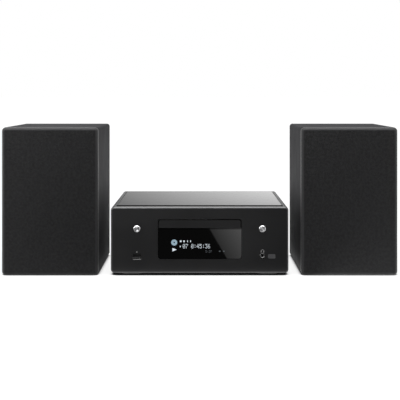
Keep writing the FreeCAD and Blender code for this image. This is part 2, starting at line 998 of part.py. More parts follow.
def disc_tray():
    """Tray with seats for both disc sizes, the pickup slot, side rails and a rack."""
    part = body("disc_tray")
    half = size.tray_width / 2
    pad(part, "Z", tray_bottom, tray_top, box(-half, tray_front_back, half, tray_back))
    rail = half + size.rail_width
    rails = box(-rail, loader_front + size.front_play, rail, tray_back)
    pad(part, "Z", tray_bottom, tray_bottom + size.rail_height, rails)
    seat = tray_top - size.disc_recess
    pocket(part, "Z", seat, tray_top, disc(0.0, disc_back, size.disc_radius + size.disc_play))
    small_seat = seat - size.small_disc_recess
    small = disc(0.0, disc_back, size.small_disc_radius + size.disc_play)
    pocket(part, "Z", small_seat, seat, small)
    hub = disc(0.0, disc_back, size.spindle_opening)
    pocket(part, "Z", tray_bottom, small_seat, hub)
    slot_half = size.slot_width / 2
    slot_end = sled_back + size.sled_travel + size.lens_radius + size.sled_play
    slot = box(-slot_half, disc_back + size.disc_to_slot, slot_half, slot_end)
    pocket(part, "Z", tray_bottom, tray_top, slot)
    run_up = size.rack_end_teeth * tooth_pitch
    first = gear_back - run_up
    last = gear_back + size.tray_travel + run_up
    root = rack_line + ROOT_DEPTH * size.gear_module
    edge = gear_across - gear_outer - 2 * size.fit_gap
    channel = box(edge, tray_front_back + size.disc_play, root, tray_back)
    pocket(part, "Z", tray_bottom, rack_roof, channel)
    pad(part, "Z", rack_bottom, tray_bottom, box(root, first, rack_outer, last))
    lean = math.tan(PRESSURE_ANGLE)
    tip_half = (tooth_pitch - size.backlash) / 4 - size.gear_module * lean
    root_half = (tooth_pitch - size.backlash) / 4 + ROOT_DEPTH * size.gear_module * lean
    middle = first + tooth_pitch / 2
    tip = rack_line - size.gear_module
    inside = root + size.tooth_overlap
    tooth = [
        (inside, middle - root_half),
        (root, middle - root_half),
        (tip, middle - tip_half),
        (tip, middle + tip_half),
        (root, middle + root_half),
        (inside, middle + root_half),
    ]
    first_tooth = pad(part, "Z", rack_bottom, rack_roof, tooth)
    count = int(float(last - first) / float(tooth_pitch))
    repeat_along(part, first_tooth, "Y", tooth_pitch, count)


def involute(angle):
    return math.tan(angle) - angle


def tray_gear():
    """Pinion that drives the tray's rack, with involute teeth."""
    part = body("tray_gear", gear_across, gear_back, rack_bottom)
    module, teeth = float(size.gear_module), int(size.gear_teeth.number)
    pitch = module * teeth / 2
    base = pitch * math.cos(PRESSURE_ANGLE)
    outer, root = pitch + module, pitch - ROOT_DEPTH * module
    half_tooth = math.pi / (2 * teeth) - float(size.backlash) / (4 * pitch)
    half_tooth += involute(PRESSURE_ANGLE)
    steps = 4
    flank = []
    for step in range(steps + 1):
        radius = base + (outer - base) * step / steps
        angle = half_tooth - involute(math.acos(base / radius))
        flank.append((radius * math.cos(angle), radius * math.sin(angle)))
    inner = root - float(size.tooth_overlap)
    foot = (inner * math.cos(half_tooth), inner * math.sin(half_tooth))
    side = [foot, *flank]
    tooth = side + [(across, -up) for across, up in reversed(side)]
    height = size.gear_width
    blank = disc(0.0, 0.0, pitch_radius - ROOT_DEPTH * size.gear_module)
    pad(part, "Z", NOTHING, height, blank)
    first_tooth = pad(part, "Z", NOTHING, height, tooth)
    repeat_around(part, first_tooth, "Z", teeth)
    bore = disc(0.0, 0.0, size.gear_bore + size.running_gap)
    pocket(part, "Z", NOTHING, height, bore)


def loader_frame():
    """Tray bed with rail grooves, gear post, traverse guide pins and clamp bridge."""
    part = body("loader_frame")
    high = tray_bottom + size.rail_height + size.fit_gap + size.loader_lip
    outer = box(-loader_outer, loader_front, loader_outer, loader_back)
    pad(part, "Z", loader_base, high, outer)
    clear = size.fit_gap
    rail_room = box(
        -loader_inner, loader_front, loader_inner, loader_back - size.loader_wall
    )
    groove_top = tray_bottom + size.rail_height + clear
    pocket(part, "Z", tray_bottom - clear, groove_top, rail_room)
    body_room = size.tray_width / 2 + clear
    well = box(
        -body_room, loader_front, body_room, loader_back - size.loader_wall
    )
    pocket(part, "Z", loader_floor_top, high, well)
    margin = size.loader_window_margin
    window = box(
        -traverse_half - margin,
        traverse_near - margin,
        traverse_half + margin,
        traverse_far + margin,
    )
    pocket(part, "Z", loader_base, loader_floor_top, window)
    post = disc(gear_across, gear_back, size.gear_bore)
    pad(part, "Z", loader_floor_top, gear_top + size.fit_gap, post)
    collar = disc(gear_across, gear_back, size.gear_bore + size.gear_collar)
    pad(part, "Z", loader_floor_top, rack_bottom - clear, collar)
    pins = [disc(across, back, size.guide_pin) for across, back in lug_places]
    pin_top = tray_bottom - size.lift_clearance / 2
    pad(part, "Z", loader_floor_top, pin_top, *pins)
    arch = tray_top + size.bridge_rise
    strap_low = disc_back - size.bridge_width / 2
    strap_high = disc_back + size.bridge_width / 2
    strap = box(-loader_outer, strap_low, loader_outer, strap_high)
    pad(part, "Z", arch, arch + size.bridge_thickness, strap)
    for side in SIDES:
        edge, inner = side * loader_outer, side * (loader_outer - size.loader_wall)
        left, right = (edge, inner) if side < 0 else (inner, edge)
        pad(part, "Z", high, arch, box(left, strap_low, right, strap_high))
    neck = disc(0.0, disc_back, size.clamper_neck + 2 * size.fit_gap)
    pocket(part, "Z", arch, arch + size.bridge_thickness, neck)


def clamper():
    """Disc clamp that hangs loose in the bridge."""
    arch = tray_top + size.bridge_rise
    part = body("clamper", 0.0, disc_back, arch)
    below = -size.clamper_drop
    above = size.bridge_thickness + size.fit_gap
    puck, neck, cap = size.clamper_radius, size.clamper_neck, size.clamper_cap
    socket = size.cone_radius + size.clamper_socket_play
    profile = [
        (socket, below - size.clamper_thickness),
        (puck, below - size.clamper_thickness),
        (puck, below),
        (neck, below),
        (neck, above),
        (neck + size.clamper_lip, above),
        (neck + size.clamper_lip, above + cap),
        (NOTHING, above + cap),
        (NOTHING, above - cap),
        (socket, above - cap),
    ]
    revolve(part, "Z", profile)


def traverse_frame():
    """Pickup chassis that lifts on four pins, with its rods and spindle motor."""
    part = body("traverse_frame")
    rim = size.rod_frame
    plate = box(-traverse_half, traverse_near, traverse_half, traverse_far)
    pad(part, "Z", traverse_base, traverse_top, plate)
    rod_half = size.rod_spread + rim
    rod_front = sled_back - size.sled_length / 2 - size.sled_play
    rod_back = traverse_far - rim
    opening = box(-rod_half, rod_front, rod_half, rod_back)
    pocket(part, "Z", traverse_base, traverse_top, opening)
    for across, back in lug_places:
        lug = disc(across, back, size.lug_radius)
        pad(part, "Z", traverse_base, traverse_top, lug)
    for back in (lug_front, lug_rear):
        arm = centred(0.0, back, 2 * lug_across, size.arm_width)
        pad(part, "Z", traverse_base, traverse_top, arm)
    bores = [
        disc(across, back, size.guide_pin + size.running_gap)
        for across, back in lug_places
    ]
    pocket(part, "Z", traverse_base, traverse_top, *bores)
    can = disc(0.0, disc_back, size.motor_radius)
    can_top = traverse_top + size.motor_rise
    pad(part, "Z", can_bottom, can_top, can)
    bore = disc(0.0, disc_back, size.shaft_radius + size.running_gap)
    pocket(part, "Z", can_bottom + size.motor_floor, can_top, bore)
    middle = traverse_base + size.traverse_thickness / 2
    rods = [disc(side * size.rod_spread, middle, size.rod_radius) for side in SIDES]
    pad(part, "Y", rod_front, rod_back, *rods)


def pickup_sled():
    """Laser pickup on the two rods, with its lens."""
    part = body("pickup_sled")
    middle = traverse_base + size.traverse_thickness / 2
    sled_front = sled_back - size.sled_length / 2
    half = size.rod_spread - size.rod_radius - size.sled_play
    low = middle - size.rod_radius - size.sled_play
    block = box(-half, low, half, low + size.sled_height)
    pad(part, "Y", sled_front, sled_front + size.sled_length, block)
    for side in SIDES:
        across = side * size.rod_spread
        ear = disc(across, middle, size.rod_radius + size.ear_wall)
        ear_front = sled_front + size.ear_inset
        ear_back = sled_front + size.sled_length - size.ear_inset
        pad(part, "Y", ear_front, ear_back, ear)
    lens = disc(0.0, sled_back, size.lens_radius)
    pad(part, "Z", low + size.sled_height, seat_up - size.lens_drop, lens)
    bores = [
        disc(side * size.rod_spread, middle, size.rod_radius + size.running_gap)
        for side in SIDES
    ]
    pocket(part, "Y", sled_front, sled_front + size.sled_length, *bores)


def turntable():
    part = body("turntable", 0.0, disc_back, seat_up)
    thick = size.turntable_thickness
    shaft_low = can_bottom + size.motor_floor + size.shaft_clearance - seat_up
    profile = [
        (NOTHING, shaft_low),
        (size.shaft_radius, shaft_low),
        (size.shaft_radius, -thick),
        (size.turntable_radius, -thick),
        (size.turntable_radius, NOTHING),
        (size.cone_radius, NOTHING),
        (size.cone_radius - size.cone_taper, size.cone_height),
        (NOTHING, size.cone_height),
    ]
    revolve(part, "Z", profile)


# ---- receiver: electronics and rear ----------------------------------------


def board(label, left, near, right, far, lumps, cans):
    """Circuit board with boxes (x, y, width, depth, height) and round cans."""
    part = body(label)
    pad(part, "Z", size.board_height, circuit_top, box(left, near, right, far))
    for across, back, width, depth, tall in lumps:
        outline = centred(across, back, width, depth)
        pad(part, "Z", circuit_top, circuit_top + tall, outline)
    for across, back, radius, tall in cans:
        pad(part, "Z", circuit_top, circuit_top + tall, disc(across, back, radius))
    return part


def main_board():
    half, chip = size.main_board_half, size.chip_side
    lumps = [
        (-half / 2, main_front + half / 2, chip, chip, size.chip_height),
        (half / 4, main_front + half, chip, chip, size.chip_height),
        (half / 2, main_back - half, size.tuner_width, size.tuner_depth, size.tuner_height),
    ]
    cans = [
        (size.can_across + step * size.can_pitch, size.can_back, size.can_radius, size.can_height)
        for step in range(2)
    ]
    board("main_board", -half, main_front, half, main_back, lumps, cans)


def power_supply():
    """Mains board: transformer, filter choke, reservoir and connector in a row."""
    gap, tuner_depth = size.part_gap, size.tuner_depth
    transformer_near = supply_front + size.transformer_room
    choke_near = transformer_near + size.transformer_depth + gap
    can_near = choke_near + size.choke_depth + gap
    row = [
        (transformer_near, size.transformer_width, size.transformer_depth, size.transformer_height),
        (choke_near, size.choke_width, size.choke_depth, size.choke_height),
        (supply_back - gap - tuner_depth, size.choke_width, tuner_depth, size.tuner_height),
    ]
    lumps = [(supply_middle, near + deep / 2, wide, deep, tall) for near, wide, deep, tall in row]
    radius = size.reservoir_radius
    cans = [(supply_middle, can_near + radius, radius, size.reservoir_height)]
    left, right = supply_middle - size.supply_half, supply_middle + size.supply_half
    board("power_supply", left, supply_front, right, supply_back, lumps, cans)


def heatsink():
    """Finned block behind the output stage."""
    part = body("heatsink")
    fins = 9
    left = size.bracket_spread + size.supply_inset
    near, wall, thin = size.heatsink_front, size.heatsink_wall, size.fin_thickness
    far = near + (fins - 1) * size.fin_pitch + thin
    tall = pan_top + size.heatsink_height
    pad(part, "Z", pan_top, tall, box(left, near, left + wall, far))
    fin = box(left + wall, near, case_half - wall, near + thin)
    first = pad(part, "Z", pan_top, tall, fin)
    repeat_along(part, first, "Y", size.fin_pitch, fins)


def rear_panel():
    part = body("rear_panel")
    plate = box(-case_half, pan_top, case_half, cover_inside)
    pad(part, "Y", rear_inner, rear, plate)
    gap = size.fit_gap
    cuts = [
        centred(
            inlet_across,
            rear_row,
            size.inlet_width + 2 * (size.inlet_wall + gap),
            size.inlet_height + 2 * (size.inlet_wall + gap),
        ),
        centred(
            post_across, size.post_row_height, block_width + 2 * gap, block_height + 2 * gap
        ),
        centred(phono_across, phono_up, phono_block + 2 * gap, phono_block + 2 * gap),
        centred(network_across, rear_row, network_outer + 2 * gap, network_tall + 2 * gap),
        centred(optical_across, rear_row, optical_outer + 2 * gap, optical_tall + 2 * gap),
        disc(antenna_across, rear_row, size.antenna_radius + gap),
    ]
    pocket(part, "Y", rear_inner, rear, *cuts)
    up = cover_inside - size.rear_vent_drop
    vent = centred(size.rear_vent_across, up, size.rear_vent_width, size.rear_vent_length)
    first = pocket(part, "Y", rear_inner, rear, vent)
    repeat_along(part, first, "X", size.rear_vent_pitch, 12)


def mains_inlet():
    """Two-pin appliance inlet with a rounded well."""
    part = body("mains_inlet")
    wall, face = size.inlet_wall, rear + size.sheet
    place = (inlet_across, rear_row)
    width, tall = size.inlet_width, size.inlet_height
    well_floor = face - size.inlet_depth
    shell = centred(*place, width + 2 * wall, tall + 2 * wall)
    pad(part, "Y", well_floor - size.inlet_floor, rear, shell)
    flange = centred(*place, width + 4 * wall, tall + 3 * wall)
    pad(part, "Y", rear, face, flange)
    well = centred(*place, width, tall, tall / 2 - size.running_gap)
    pocket(part, "Y", well_floor, face, well)
    pins = [
        disc(inlet_across + side * size.pin_pitch / 2, rear_row, size.pin_radius)
        for side in SIDES
    ]
    pad(part, "Y", well_floor, well_floor + size.pin_length, *pins)


def phono_sockets():
    """Moulded block with four phono sockets, each barrel a tube of its own."""
    part = body("phono_sockets")
    back = rear_inner - size.phono_block_depth
    block = centred(phono_across, phono_up, phono_block, phono_block)
    pad(part, "Y", back, phono_face, block)
    low = phono_up - phono_block / 2
    foot = centred(phono_across, (circuit_top + low) / 2, phono_block, low - circuit_top)
    pad(part, "Y", back, rear_inner - 2 * size.fit_gap, foot)
    seat = phono_face + size.running_gap
    for across, up in phono_places:
        barrel = disc(across, up, size.phono_radius)
        core = disc(across, up, size.phono_bore)
        pad(part, "Y", seat, phono_face + size.phono_length, barrel, core)


def signal_sockets():
    """Network socket, two shuttered optical sockets and the aerial socket."""
    part = body("signal_sockets")
    face = rear + size.socket_proud
    shell = centred(network_across, rear_row, network_outer, network_tall)
    near = rear_inner - size.socket_depth
    pad(part, "Y", near, face, shell)
    cavity = centred(
        network_across, rear_row, size.network_width, size.network_height
    )
    pocket(part, "Y", near + size.network_wall, face, cavity)
    optical = centred(optical_across, rear_row, optical_outer, optical_tall)
    pad(part, "Y", near, face, optical)
    shutter_width = size.optical_width - size.shutter_rim
    shutters = [
        centred(
            optical_across + side * size.shutter_offset,
            rear_row,
            shutter_width,
            size.shutter_height,
        )
        for side in SIDES
    ]
    pocket(part, "Y", face - size.shutter_depth, face, *shutters)
    barrel = disc(antenna_across, rear_row, size.antenna_radius)
    tip = face + size.antenna_length
    pad(part, "Y", near, tip, barrel)
    bore = disc(antenna_across, rear_row, size.antenna_radius - size.antenna_wall)
    pocket(part, "Y", face, tip, bore)
    feet_row = (
        (network_across, network_outer),
        (optical_across, optical_outer),
        (antenna_across, 2 * size.antenna_radius),
    )
    for across, width in feet_row:
        half = width / 2
        leg_top = rear_row - size.network_height / 2
        leg = box(across - half, circuit_top, across + half, leg_top)
        pad(part, "Y", near, rear_inner - 2 * size.fit_gap, leg)


def terminal_block():
    """Loudspeaker terminal plate with four threaded posts, bored for plugs."""
    part = body("terminal_block")
    middle = (post_across, size.post_row_height)
    block = centred(*middle, block_width, block_height)
    pad(part, "Y", rear_inner - size.post_block_depth, rear, block)
    rim = 2 * size.post_plate_rim
    plate = centred(*middle, block_width + rim, block_height + rim)
    pad(part, "Y", rear, post_out, plate)
    for across in post_places:
        bored_posts(part, across, size.post_row_height, post_out)


def bored_posts(part, across, up, base):
    """Threaded post that stands on a plate, with a plug bore from its tip."""
    tip = base + post_length
    bore_end = tip - size.post_bore_depth
    post = disc(across, up, size.post_radius)
    pad(part, "Y", base + size.running_gap, bore_end, post)
    pad(part, "Y", bore_end, tip, post, disc(across, up, size.post_bore))


def terminal_cap(label, across, base, up):
    """Fluted screw cap: it backs off along its post to free the bare wire."""
    part = body(label, across, base, up)
    sides = int(size.cap_sides.number)
    flats = ring_points(0.0, 0.0, float(size.cap_radius), sides, math.pi / sides)
    low = size.cap_start
    high = low + size.cap_length
    pad(part, "Y", low, high, flats)
    pad(part, "Y", high, cap_end, disc(0.0, 0.0, size.cap_radius - size.cap_step))
    bore = disc(0.0, 0.0, size.post_radius + size.running_gap)
    inner_end = cap_end - size.cap_end_wall
    pocket(part, "Y", low, inner_end, bore)
    pocket(part, "Y", inner_end, cap_end, disc(0.0, 0.0, size.plug_hole))


# places that several of the receiver's pieces share

main_front = loader_front + size.main_board_inset
main_back = rear_inner - size.fit_gap
supply_middle = -(size.bracket_spread + size.supply_inset + size.supply_half)
supply_front = front + size.supply_front_room
supply_back = rear_inner - size.supply_rear_room
screw_up = pan_top + size.screw_up
screw_places = [front + size.screw_front_room, rear - size.screw_rear_room]

traverse_half = size.traverse_width / 2
traverse_near = disc_back - size.traverse_front
lug_across = traverse_half + size.rod_frame
lug_front = traverse_near + size.rod_frame
lug_rear = traverse_far - size.rod_frame
lug_places = [(side * lug_across, back) for side in SIDES for back in (lug_front, lug_rear)]
can_bottom = traverse_base - size.motor_height

rear_row = size.board_height + size.rear_row_up
inlet_across = -(half_width - size.inlet_inset)
phono_across = size.phono_across
phono_block = size.phono_pitch + 2 * size.phono_block_rim
phono_face = rear + size.phono_proud
phono_up = circuit_top + size.phono_up
phono_places = [
    (phono_across + side * size.phono_pitch / 2, phono_up + level * size.phono_pitch / 2)
    for side in SIDES
    for level in SIDES
]
network_across = NOTHING
network_outer = size.network_width + 2 * size.network_wall
network_tall = size.network_height + 2 * size.network_rim
optical_across = size.optical_across
optical_outer = 2 * size.optical_width + 2 * size.optical_wall
optical_tall = size.optical_height
antenna_across = size.antenna_across
block_width = 3 * size.post_pitch + 2 * size.post_block_end
block_height = size.post_block_height
post_across = half_width - size.post_inset
post_places = [post_across + (step - 1.5) * size.post_pitch for step in range(4)]
cap_end = post_length + size.cap_end_wall + size.fit_gap


def build_receiver():
    front_panel()
    display_window()
    display_board()
    button("power_button", -1)
    button("eject_button", 1)
    usb_socket()
    headphone_jack()
    chassis_pan()
    feet()
    top_cover()
    top_plate()
    case_screws()
    tray_front()
    disc_tray()
    tray_gear()
    loader_frame()
    clamper()
    traverse_frame()
    pickup_sled()
    turntable()
    main_board()
    power_supply()
    heatsink()
    rear_panel()
    mains_inlet()
    phono_sockets()
    signal_sockets()
    terminal_block()
    for number, across in enumerate(post_places, start=1):
        terminal_cap(f"terminal_cap_{number}", across, post_out, size.post_row_height)


# ---- loudspeakers ----------------------------------------------------------
# The left one is modelled; the right one is its mirror image.

speaker_middle = -size.speaker_offset
speaker_half = size.speaker_width / 2
grille_back = front + size.grille_depth
cabinet_front = grille_back + size.grille_gap
cabinet_rear = front + size.speaker_depth
inside_half = speaker_half - size.speaker_wall
cabinet_inside = size.speaker_height - 2 * size.speaker_wall
baffle_spare = cabinet_inside - 2 * size.woofer_radius - 2 * size.tweeter_radius
woofer_up = size.speaker_wall + baffle_spare / 3 + size.woofer_radius
tweeter_up = size.speaker_height - size.speaker_wall - baffle_spare / 3 - size.tweeter_radius
port_up = size.speaker_height - size.port_drop
cup_up = size.speaker_wall + size.cup_rise + size.cup_length / 2
peg_places = [
    (side * (speaker_half - size.peg_inset), up)
    for side in SIDES
    for up in (size.peg_inset, size.speaker_height - size.peg_inset)
]


def speaker_body(name, back=0.0, up=0.0):
    return body(f"{name}_left", speaker_middle, back, up)


def cabinet():
    part = speaker_body("cabinet")
    tall = size.speaker_height
    outline = box(-speaker_half, NOTHING, speaker_half, tall, size.speaker_edge)
    pad(part, "Y", cabinet_front, cabinet_rear, outline)
    wall = size.speaker_wall
    inside = box(-inside_half, wall, inside_half, tall - wall)
    pocket(part, "Y", cabinet_front, cabinet_rear - wall, inside)
    port = disc(0.0, port_up, size.port_radius + size.port_wall + size.fit_gap)
    room = 2 * size.fit_gap
    cup = centred(0.0, cup_up, size.cup_width + room, size.cup_length + room)
    pocket(part, "Y", cabinet_rear - wall, cabinet_rear, port, cup)


def front_baffle():
    part = speaker_body("front_baffle")
    wall, back = size.speaker_wall, cabinet_front + size.baffle_thickness
    plate = box(-inside_half, wall, inside_half, size.speaker_height - wall)
    pad(part, "Y", cabinet_front, back, plate)
    seats = [
        disc(0.0, woofer_up, size.woofer_radius + size.fit_gap),
        disc(0.0, tweeter_up, size.tweeter_radius + size.fit_gap),
    ]
    pocket(part, "Y", cabinet_front, cabinet_front + size.woofer_flange, *seats)
    holes = [
        disc(0.0, woofer_up, size.woofer_hole),
        disc(0.0, tweeter_up, size.tweeter_magnet + size.fit_gap),
    ]
    pocket(part, "Y", cabinet_front, back, *holes)
    sockets = [disc(*place, size.peg_radius + 2 * size.running_gap) for place in peg_places]
    socket_end = cabinet_front + size.peg_length + size.peg_socket_room
    pocket(part, "Y", cabinet_front, socket_end, *sockets)


def grille_frame():
    """Frame behind the cloth, with a bar between the two openings and four pegs."""
    part = speaker_body("grille_frame")
    skin = size.cloth_thickness
    half, tall = speaker_half - skin, size.speaker_height - skin
    corner = size.grille_edge - skin + size.grille_corner_extra
    outline = box(-half, skin, half, tall, corner)
    pad(part, "Y", front + skin, grille_back, outline)
    fillet(part, size.grille_edge - skin, lies_at("Y", front + skin))
    bar = size.grille_bar
    split = (woofer_up + size.woofer_radius + tweeter_up - size.tweeter_radius) / 2
    cross = size.grille_cross_bar / 2
    low = box(-half + bar, skin + bar, half - bar, split - cross, bar)
    high = box(-half + bar, split + cross, half - bar, tall - bar, bar)
    pocket(part, "Y", front + skin, grille_back, low, high)
    pegs = [disc(*place, size.peg_radius) for place in peg_places]
    pad(part, "Y", grille_back, cabinet_front + size.peg_length, *pegs)


def cloth_block(name, inset, back):
    """Block with the grille's rounded outline, inset from its surface."""
    part = speaker_body(name)
    bodies.remove(part)
    half, tall = speaker_half - inset, size.speaker_height - inset
    corner = size.grille_edge - inset + size.grille_corner_extra
    outline = box(-half, inset, half, tall, corner)
    pad(part, "Y", front + inset, back, outline)
    fillet(part, size.grille_edge - inset, lies_at("Y", front + inset))
    return part


def grille_cloth():
    """Cloth drawn over the frame's front and sides."""
    cloth = document.addObject("Part::Cut", "grille_cloth_left")
    cloth.Label = "grille_cloth_left"
    cloth.Base = cloth_block("cloth_outside", NOTHING, grille_back)
    cloth.Tool = cloth_block("cloth_inside", size.cloth_thickness, grille_back + 1.0)
    bodies.append(cloth)


def woofer_basket():
    """Pressed basket: gasket rim, landing for the surround, cone and four windows."""
    part = speaker_body("woofer_basket", cabinet_front, woofer_up)
    flange, depth, wall = size.woofer_flange, size.woofer_depth, size.basket_wall
    rim = size.woofer_radius
    foot = size.magnet_radius - size.basket_seat
    profile = [
        (NOTHING, rim),
        (flange, rim),
        (flange, basket_outer),
        (basket_shoulder, basket_outer),
        (basket_back, foot),
        (depth, foot),
        (depth, size.coil_radius + size.basket_neck),
        (basket_back, size.coil_radius + size.basket_neck),
        (basket_back, basket_foot_inside),
        (basket_shoulder, basket_inside),
        (size.gasket_depth, basket_inside),
        (size.gasket_depth, gasket_inside),
        (NOTHING, gasket_inside),
    ]
    revolve(part, "Y", profile)
    window = centred(
        flange + size.basket_window_start + size.basket_window_length / 2,
        0.0,
        size.basket_window_length,
        size.basket_window_width,
    )
    first = pocket(part, "X", NOTHING, rim, window)
    repeat_around(part, first, "Y", 4)


def woofer_magnet():
    part = speaker_body("woofer_magnet", cabinet_front, woofer_up)
    near = size.woofer_depth
    far = near + size.magnet_depth
    plate = far - size.back_plate
    pole = size.coil_radius - size.coil_wall - size.magnet_gap
    bore = size.coil_radius + size.magnet_gap
    profile = [
        (near, bore),
        (near, size.magnet_radius),
        (plate, size.magnet_radius),
        (plate, size.magnet_radius - size.magnet_step),
        (far, size.magnet_radius - size.magnet_step),
        (far, NOTHING),
        (near - size.pole_proud, NOTHING),
        (near - size.pole_proud, pole),
        (plate, pole),
        (plate, bore),
    ]
    revolve(part, "Y", profile)


def cap_profile(crown, radius, rise, steps=5):
    """Short runs down a spherical cap, from its rim to its crown on the axis."""
    ball = (float(radius) ** 2 + float(rise) ** 2) / (2 * float(rise))
    profile = []
    for step in range(steps, 0, -1):
        out = radius * (step / steps)
        drop = ball - math.sqrt(ball ** 2 - float(out) ** 2)
        profile.append((crown + drop, out))
    return [*profile, (crown, NOTHING)]


def woofer_cone():
    """Cone, dust cap and voice-coil tube."""
    part = speaker_body("woofer_cone", cabinet_front, woofer_up)
    outer, inner, thick = size.cone_outer, size.cone_inner, size.cone_wall
    neck = cone_edge + size.cone_depth
    slope = size.cone_depth / (float(outer) - float(inner))
    cap_radius = inner + size.dust_cap_overlap
    cap_back = cone_edge + slope * (outer - cap_radius)
    crown = cap_back - size.dust_cap_height
    coil_inner = size.coil_radius - size.coil_wall
    coil_end = size.woofer_depth + 2 * size.woofer_travel
    rear_skin = 1.2 * thick
    profile = [
        (cone_edge, outer),
        *cap_profile(crown, cap_radius, size.dust_cap_height),
        (crown + thick, NOTHING),
        (cap_back - thick, cap_radius / 2),
        (neck - thick, coil_inner),
        (coil_end, coil_inner),
        (coil_end, size.coil_radius),
        (neck + rear_skin, size.coil_radius),
        (cone_edge + rear_skin, outer),
    ]
    revolve(part, "Y", profile)


def woofer_suspension():
    """Rubber half-roll surround and the centring disc."""
    part = speaker_body("woofer_suspension", cabinet_front, woofer_up)
    rubber, seat = size.surround_thickness, size.gasket_depth
    face = seat - rubber
    rim = gasket_inside - size.fit_gap
    outer, inner = basket_inside, size.cone_outer + size.roll_gap
    middle = (outer + inner) / 2
    crown = seat - size.roll_height
    landing = size.cone_outer - size.surround_landing
    surround = [
        (seat, rim),
        (seat, outer),
        Via((crown, middle)),
        (seat, inner),
        (seat, landing),
        (face, landing),
        (face, inner - rubber),
        Via((crown - rubber, middle)),
        (face, outer + rubber),
        (face, rim),
    ]
    revolve(part, "Y", surround)
    spider = [
        (spider_front, size.coil_radius + size.fit_gap),
        (spider_back, size.coil_radius + size.fit_gap),
        (spider_back, spider_radius),
        (spider_front, spider_radius),
    ]
    revolve(part, "Y", spider)


def tweeter():
    """Tweeter face plate and motor."""
    part = speaker_body("tweeter", cabinet_front, tweeter_up)
    flange, depth = size.woofer_flange, size.woofer_flange + size.tweeter_depth
    throat = size.dome_radius + size.dome_clearance
    profile = [
        (NOTHING, throat + size.horn_width),
        (NOTHING, size.tweeter_radius),
        (flange, size.tweeter_radius),
        (flange, size.tweeter_magnet),
        (depth, size.tweeter_magnet),
        (depth, NOTHING),
        (dome_seat, NOTHING),
        (dome_seat, throat),
        (size.horn_depth, throat),
    ]
    revolve(part, "Y", profile)


def tweeter_dome():
    part = speaker_body("tweeter_dome", cabinet_front, tweeter_up)
    back = dome_seat - size.dome_travel - 2 * size.running_gap
    radius, rise = size.dome_radius, size.dome_height
    profile = [
        (back, NOTHING),
        (back, radius),
        *cap_profile(back - rise, radius, rise - size.dome_skirt),
    ]
    revolve(part, "Y", profile)


def port_tube():
    part = speaker_body("port_tube", cabinet_rear, port_up)
    lip = size.port_lip
    bore, outer = size.port_radius, size.port_radius + size.port_wall
    flare = size.port_flare
    inner_end = lip - size.port_length
    profile = [
        (inner_end, bore),
        (lip - flare, bore),
        Via((lip - flare + flare * math.sqrt(0.5), bore + flare * CORNER)),
        (lip, bore + flare),
        (lip, outer + size.port_flange),
        (NOTHING, outer + size.port_flange),
        (NOTHING, outer),
        (inner_end, outer),
    ]
    revolve(part, "Y", profile)


def terminal_cup():
    """Recessed connection plate with two bored posts, one above the other."""
    part = speaker_body("terminal_cup")
    place = (0.0, cup_up)
    wide, tall, wall = size.cup_width, size.cup_length, size.cup_wall
    lip = cabinet_rear + wall
    dish = centred(*place, wide, tall)
    pad(part, "Y", cup_floor - wall, cabinet_rear, dish)
    reach = 2 * size.cup_flange
    rim = centred(*place, wide + reach, tall + reach, size.cup_flange)
    pad(part, "Y", cabinet_rear, lip, rim)
    well = centred(*place, wide - 2 * wall, tall - 2 * wall, size.cup_flange)
    pocket(part, "Y", cup_floor, lip, well)
    for up in cup_posts:
        bored_posts(part, 0.0, up, cup_floor)


basket_outer = size.woofer_hole - size.fit_gap
basket_inside = basket_outer - size.basket_wall
gasket_inside = size.woofer_radius - size.gasket_width
basket_shoulder = size.woofer_flange + size.basket_straight
basket_back = size.woofer_depth - size.basket_base
basket_foot_inside = size.magnet_radius - size.basket_step
cone_edge = size.gasket_depth + size.fit_gap
spider_front = size.woofer_flange + size.spider_setback
spider_back = spider_front + size.spider_thickness
basket_narrows = (basket_inside - basket_foot_inside) / (basket_back - basket_shoulder)
spider_radius = basket_inside - basket_narrows * (spider_back - basket_shoulder) - size.fit_gap
dome_seat = size.woofer_flange + size.dome_seat_depth
cup_floor = cabinet_rear - size.cup_depth
cup_posts = [cup_up + side * size.cup_post_spread for side in SIDES]


def build_left_speaker():
    cabinet()
    front_baffle()
    grille_frame()
    grille_cloth()
    woofer_basket()
    woofer_magnet()
    woofer_cone()
    woofer_suspension()
    tweeter()
    tweeter_dome()
    port_tube()
    terminal_cup()
    for colour, up in zip(("black", "red"), cup_posts):
        terminal_cap(f"terminal_cap_{colour}_left", speaker_middle, cup_floor, up)


def mirror_speaker():
    """Right loudspeaker: every left sub-part reflected in the middle plane."""
    for part in [item for item in bodies if item.Label.endswith("_left")]:
        label = part.Label.replace("_left", "_right")
        twin = document.addObject("Part::Mirroring", label)
        twin.Label = label
        twin.Source = part
        twin.Normal = FreeCAD.Vector(1, 0, 0)
        bodies.append(twin)


build_receiver()
build_left_speaker()
mirror_speaker()


def finish():
    """Checks every object, then writes each sub-part to a file of its own."""
    document.recompute()
    faults = []
    for item in document.Objects:
        if {"Invalid", "Error"} & set(item.State):
            faults.append(f"{item.Label}: {item.State}")
    for part in bodies:
        if part.Shape.isNull() or not part.Shape.isValid() or not part.Shape.Solids:
            faults.append(f"{part.Label}: shape not valid")
    if faults:
        raise RuntimeError("; ".join(faults))
    os.makedirs("parts", exist_ok=True)
    for part in bodies:
        part.Shape.exportStep(f"parts/{part.Label}.step")
        print(part.Label, len(part.Shape.Solids), round(part.Shape.Volume / 1000, 2))


finish()
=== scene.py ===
# %% [markdown]
# # A compact hi-fi system: a disc receiver and two bookshelf loudspeakers
#
# The solids come from a CAD model. They stay where they are, at their real size. This
# lesson gives each of them the finish of the real piece, models what the solids leave
# plain, such as cloth, rubber, screws and printed marks, and lights the set the way a
# catalogue photograph is lit. Lengths are metres, so a size in millimetres is written
# as a number times MM.

# %% Load the solids
import json
import math

import bmesh
import bpy
from mathutils import Matrix, Vector


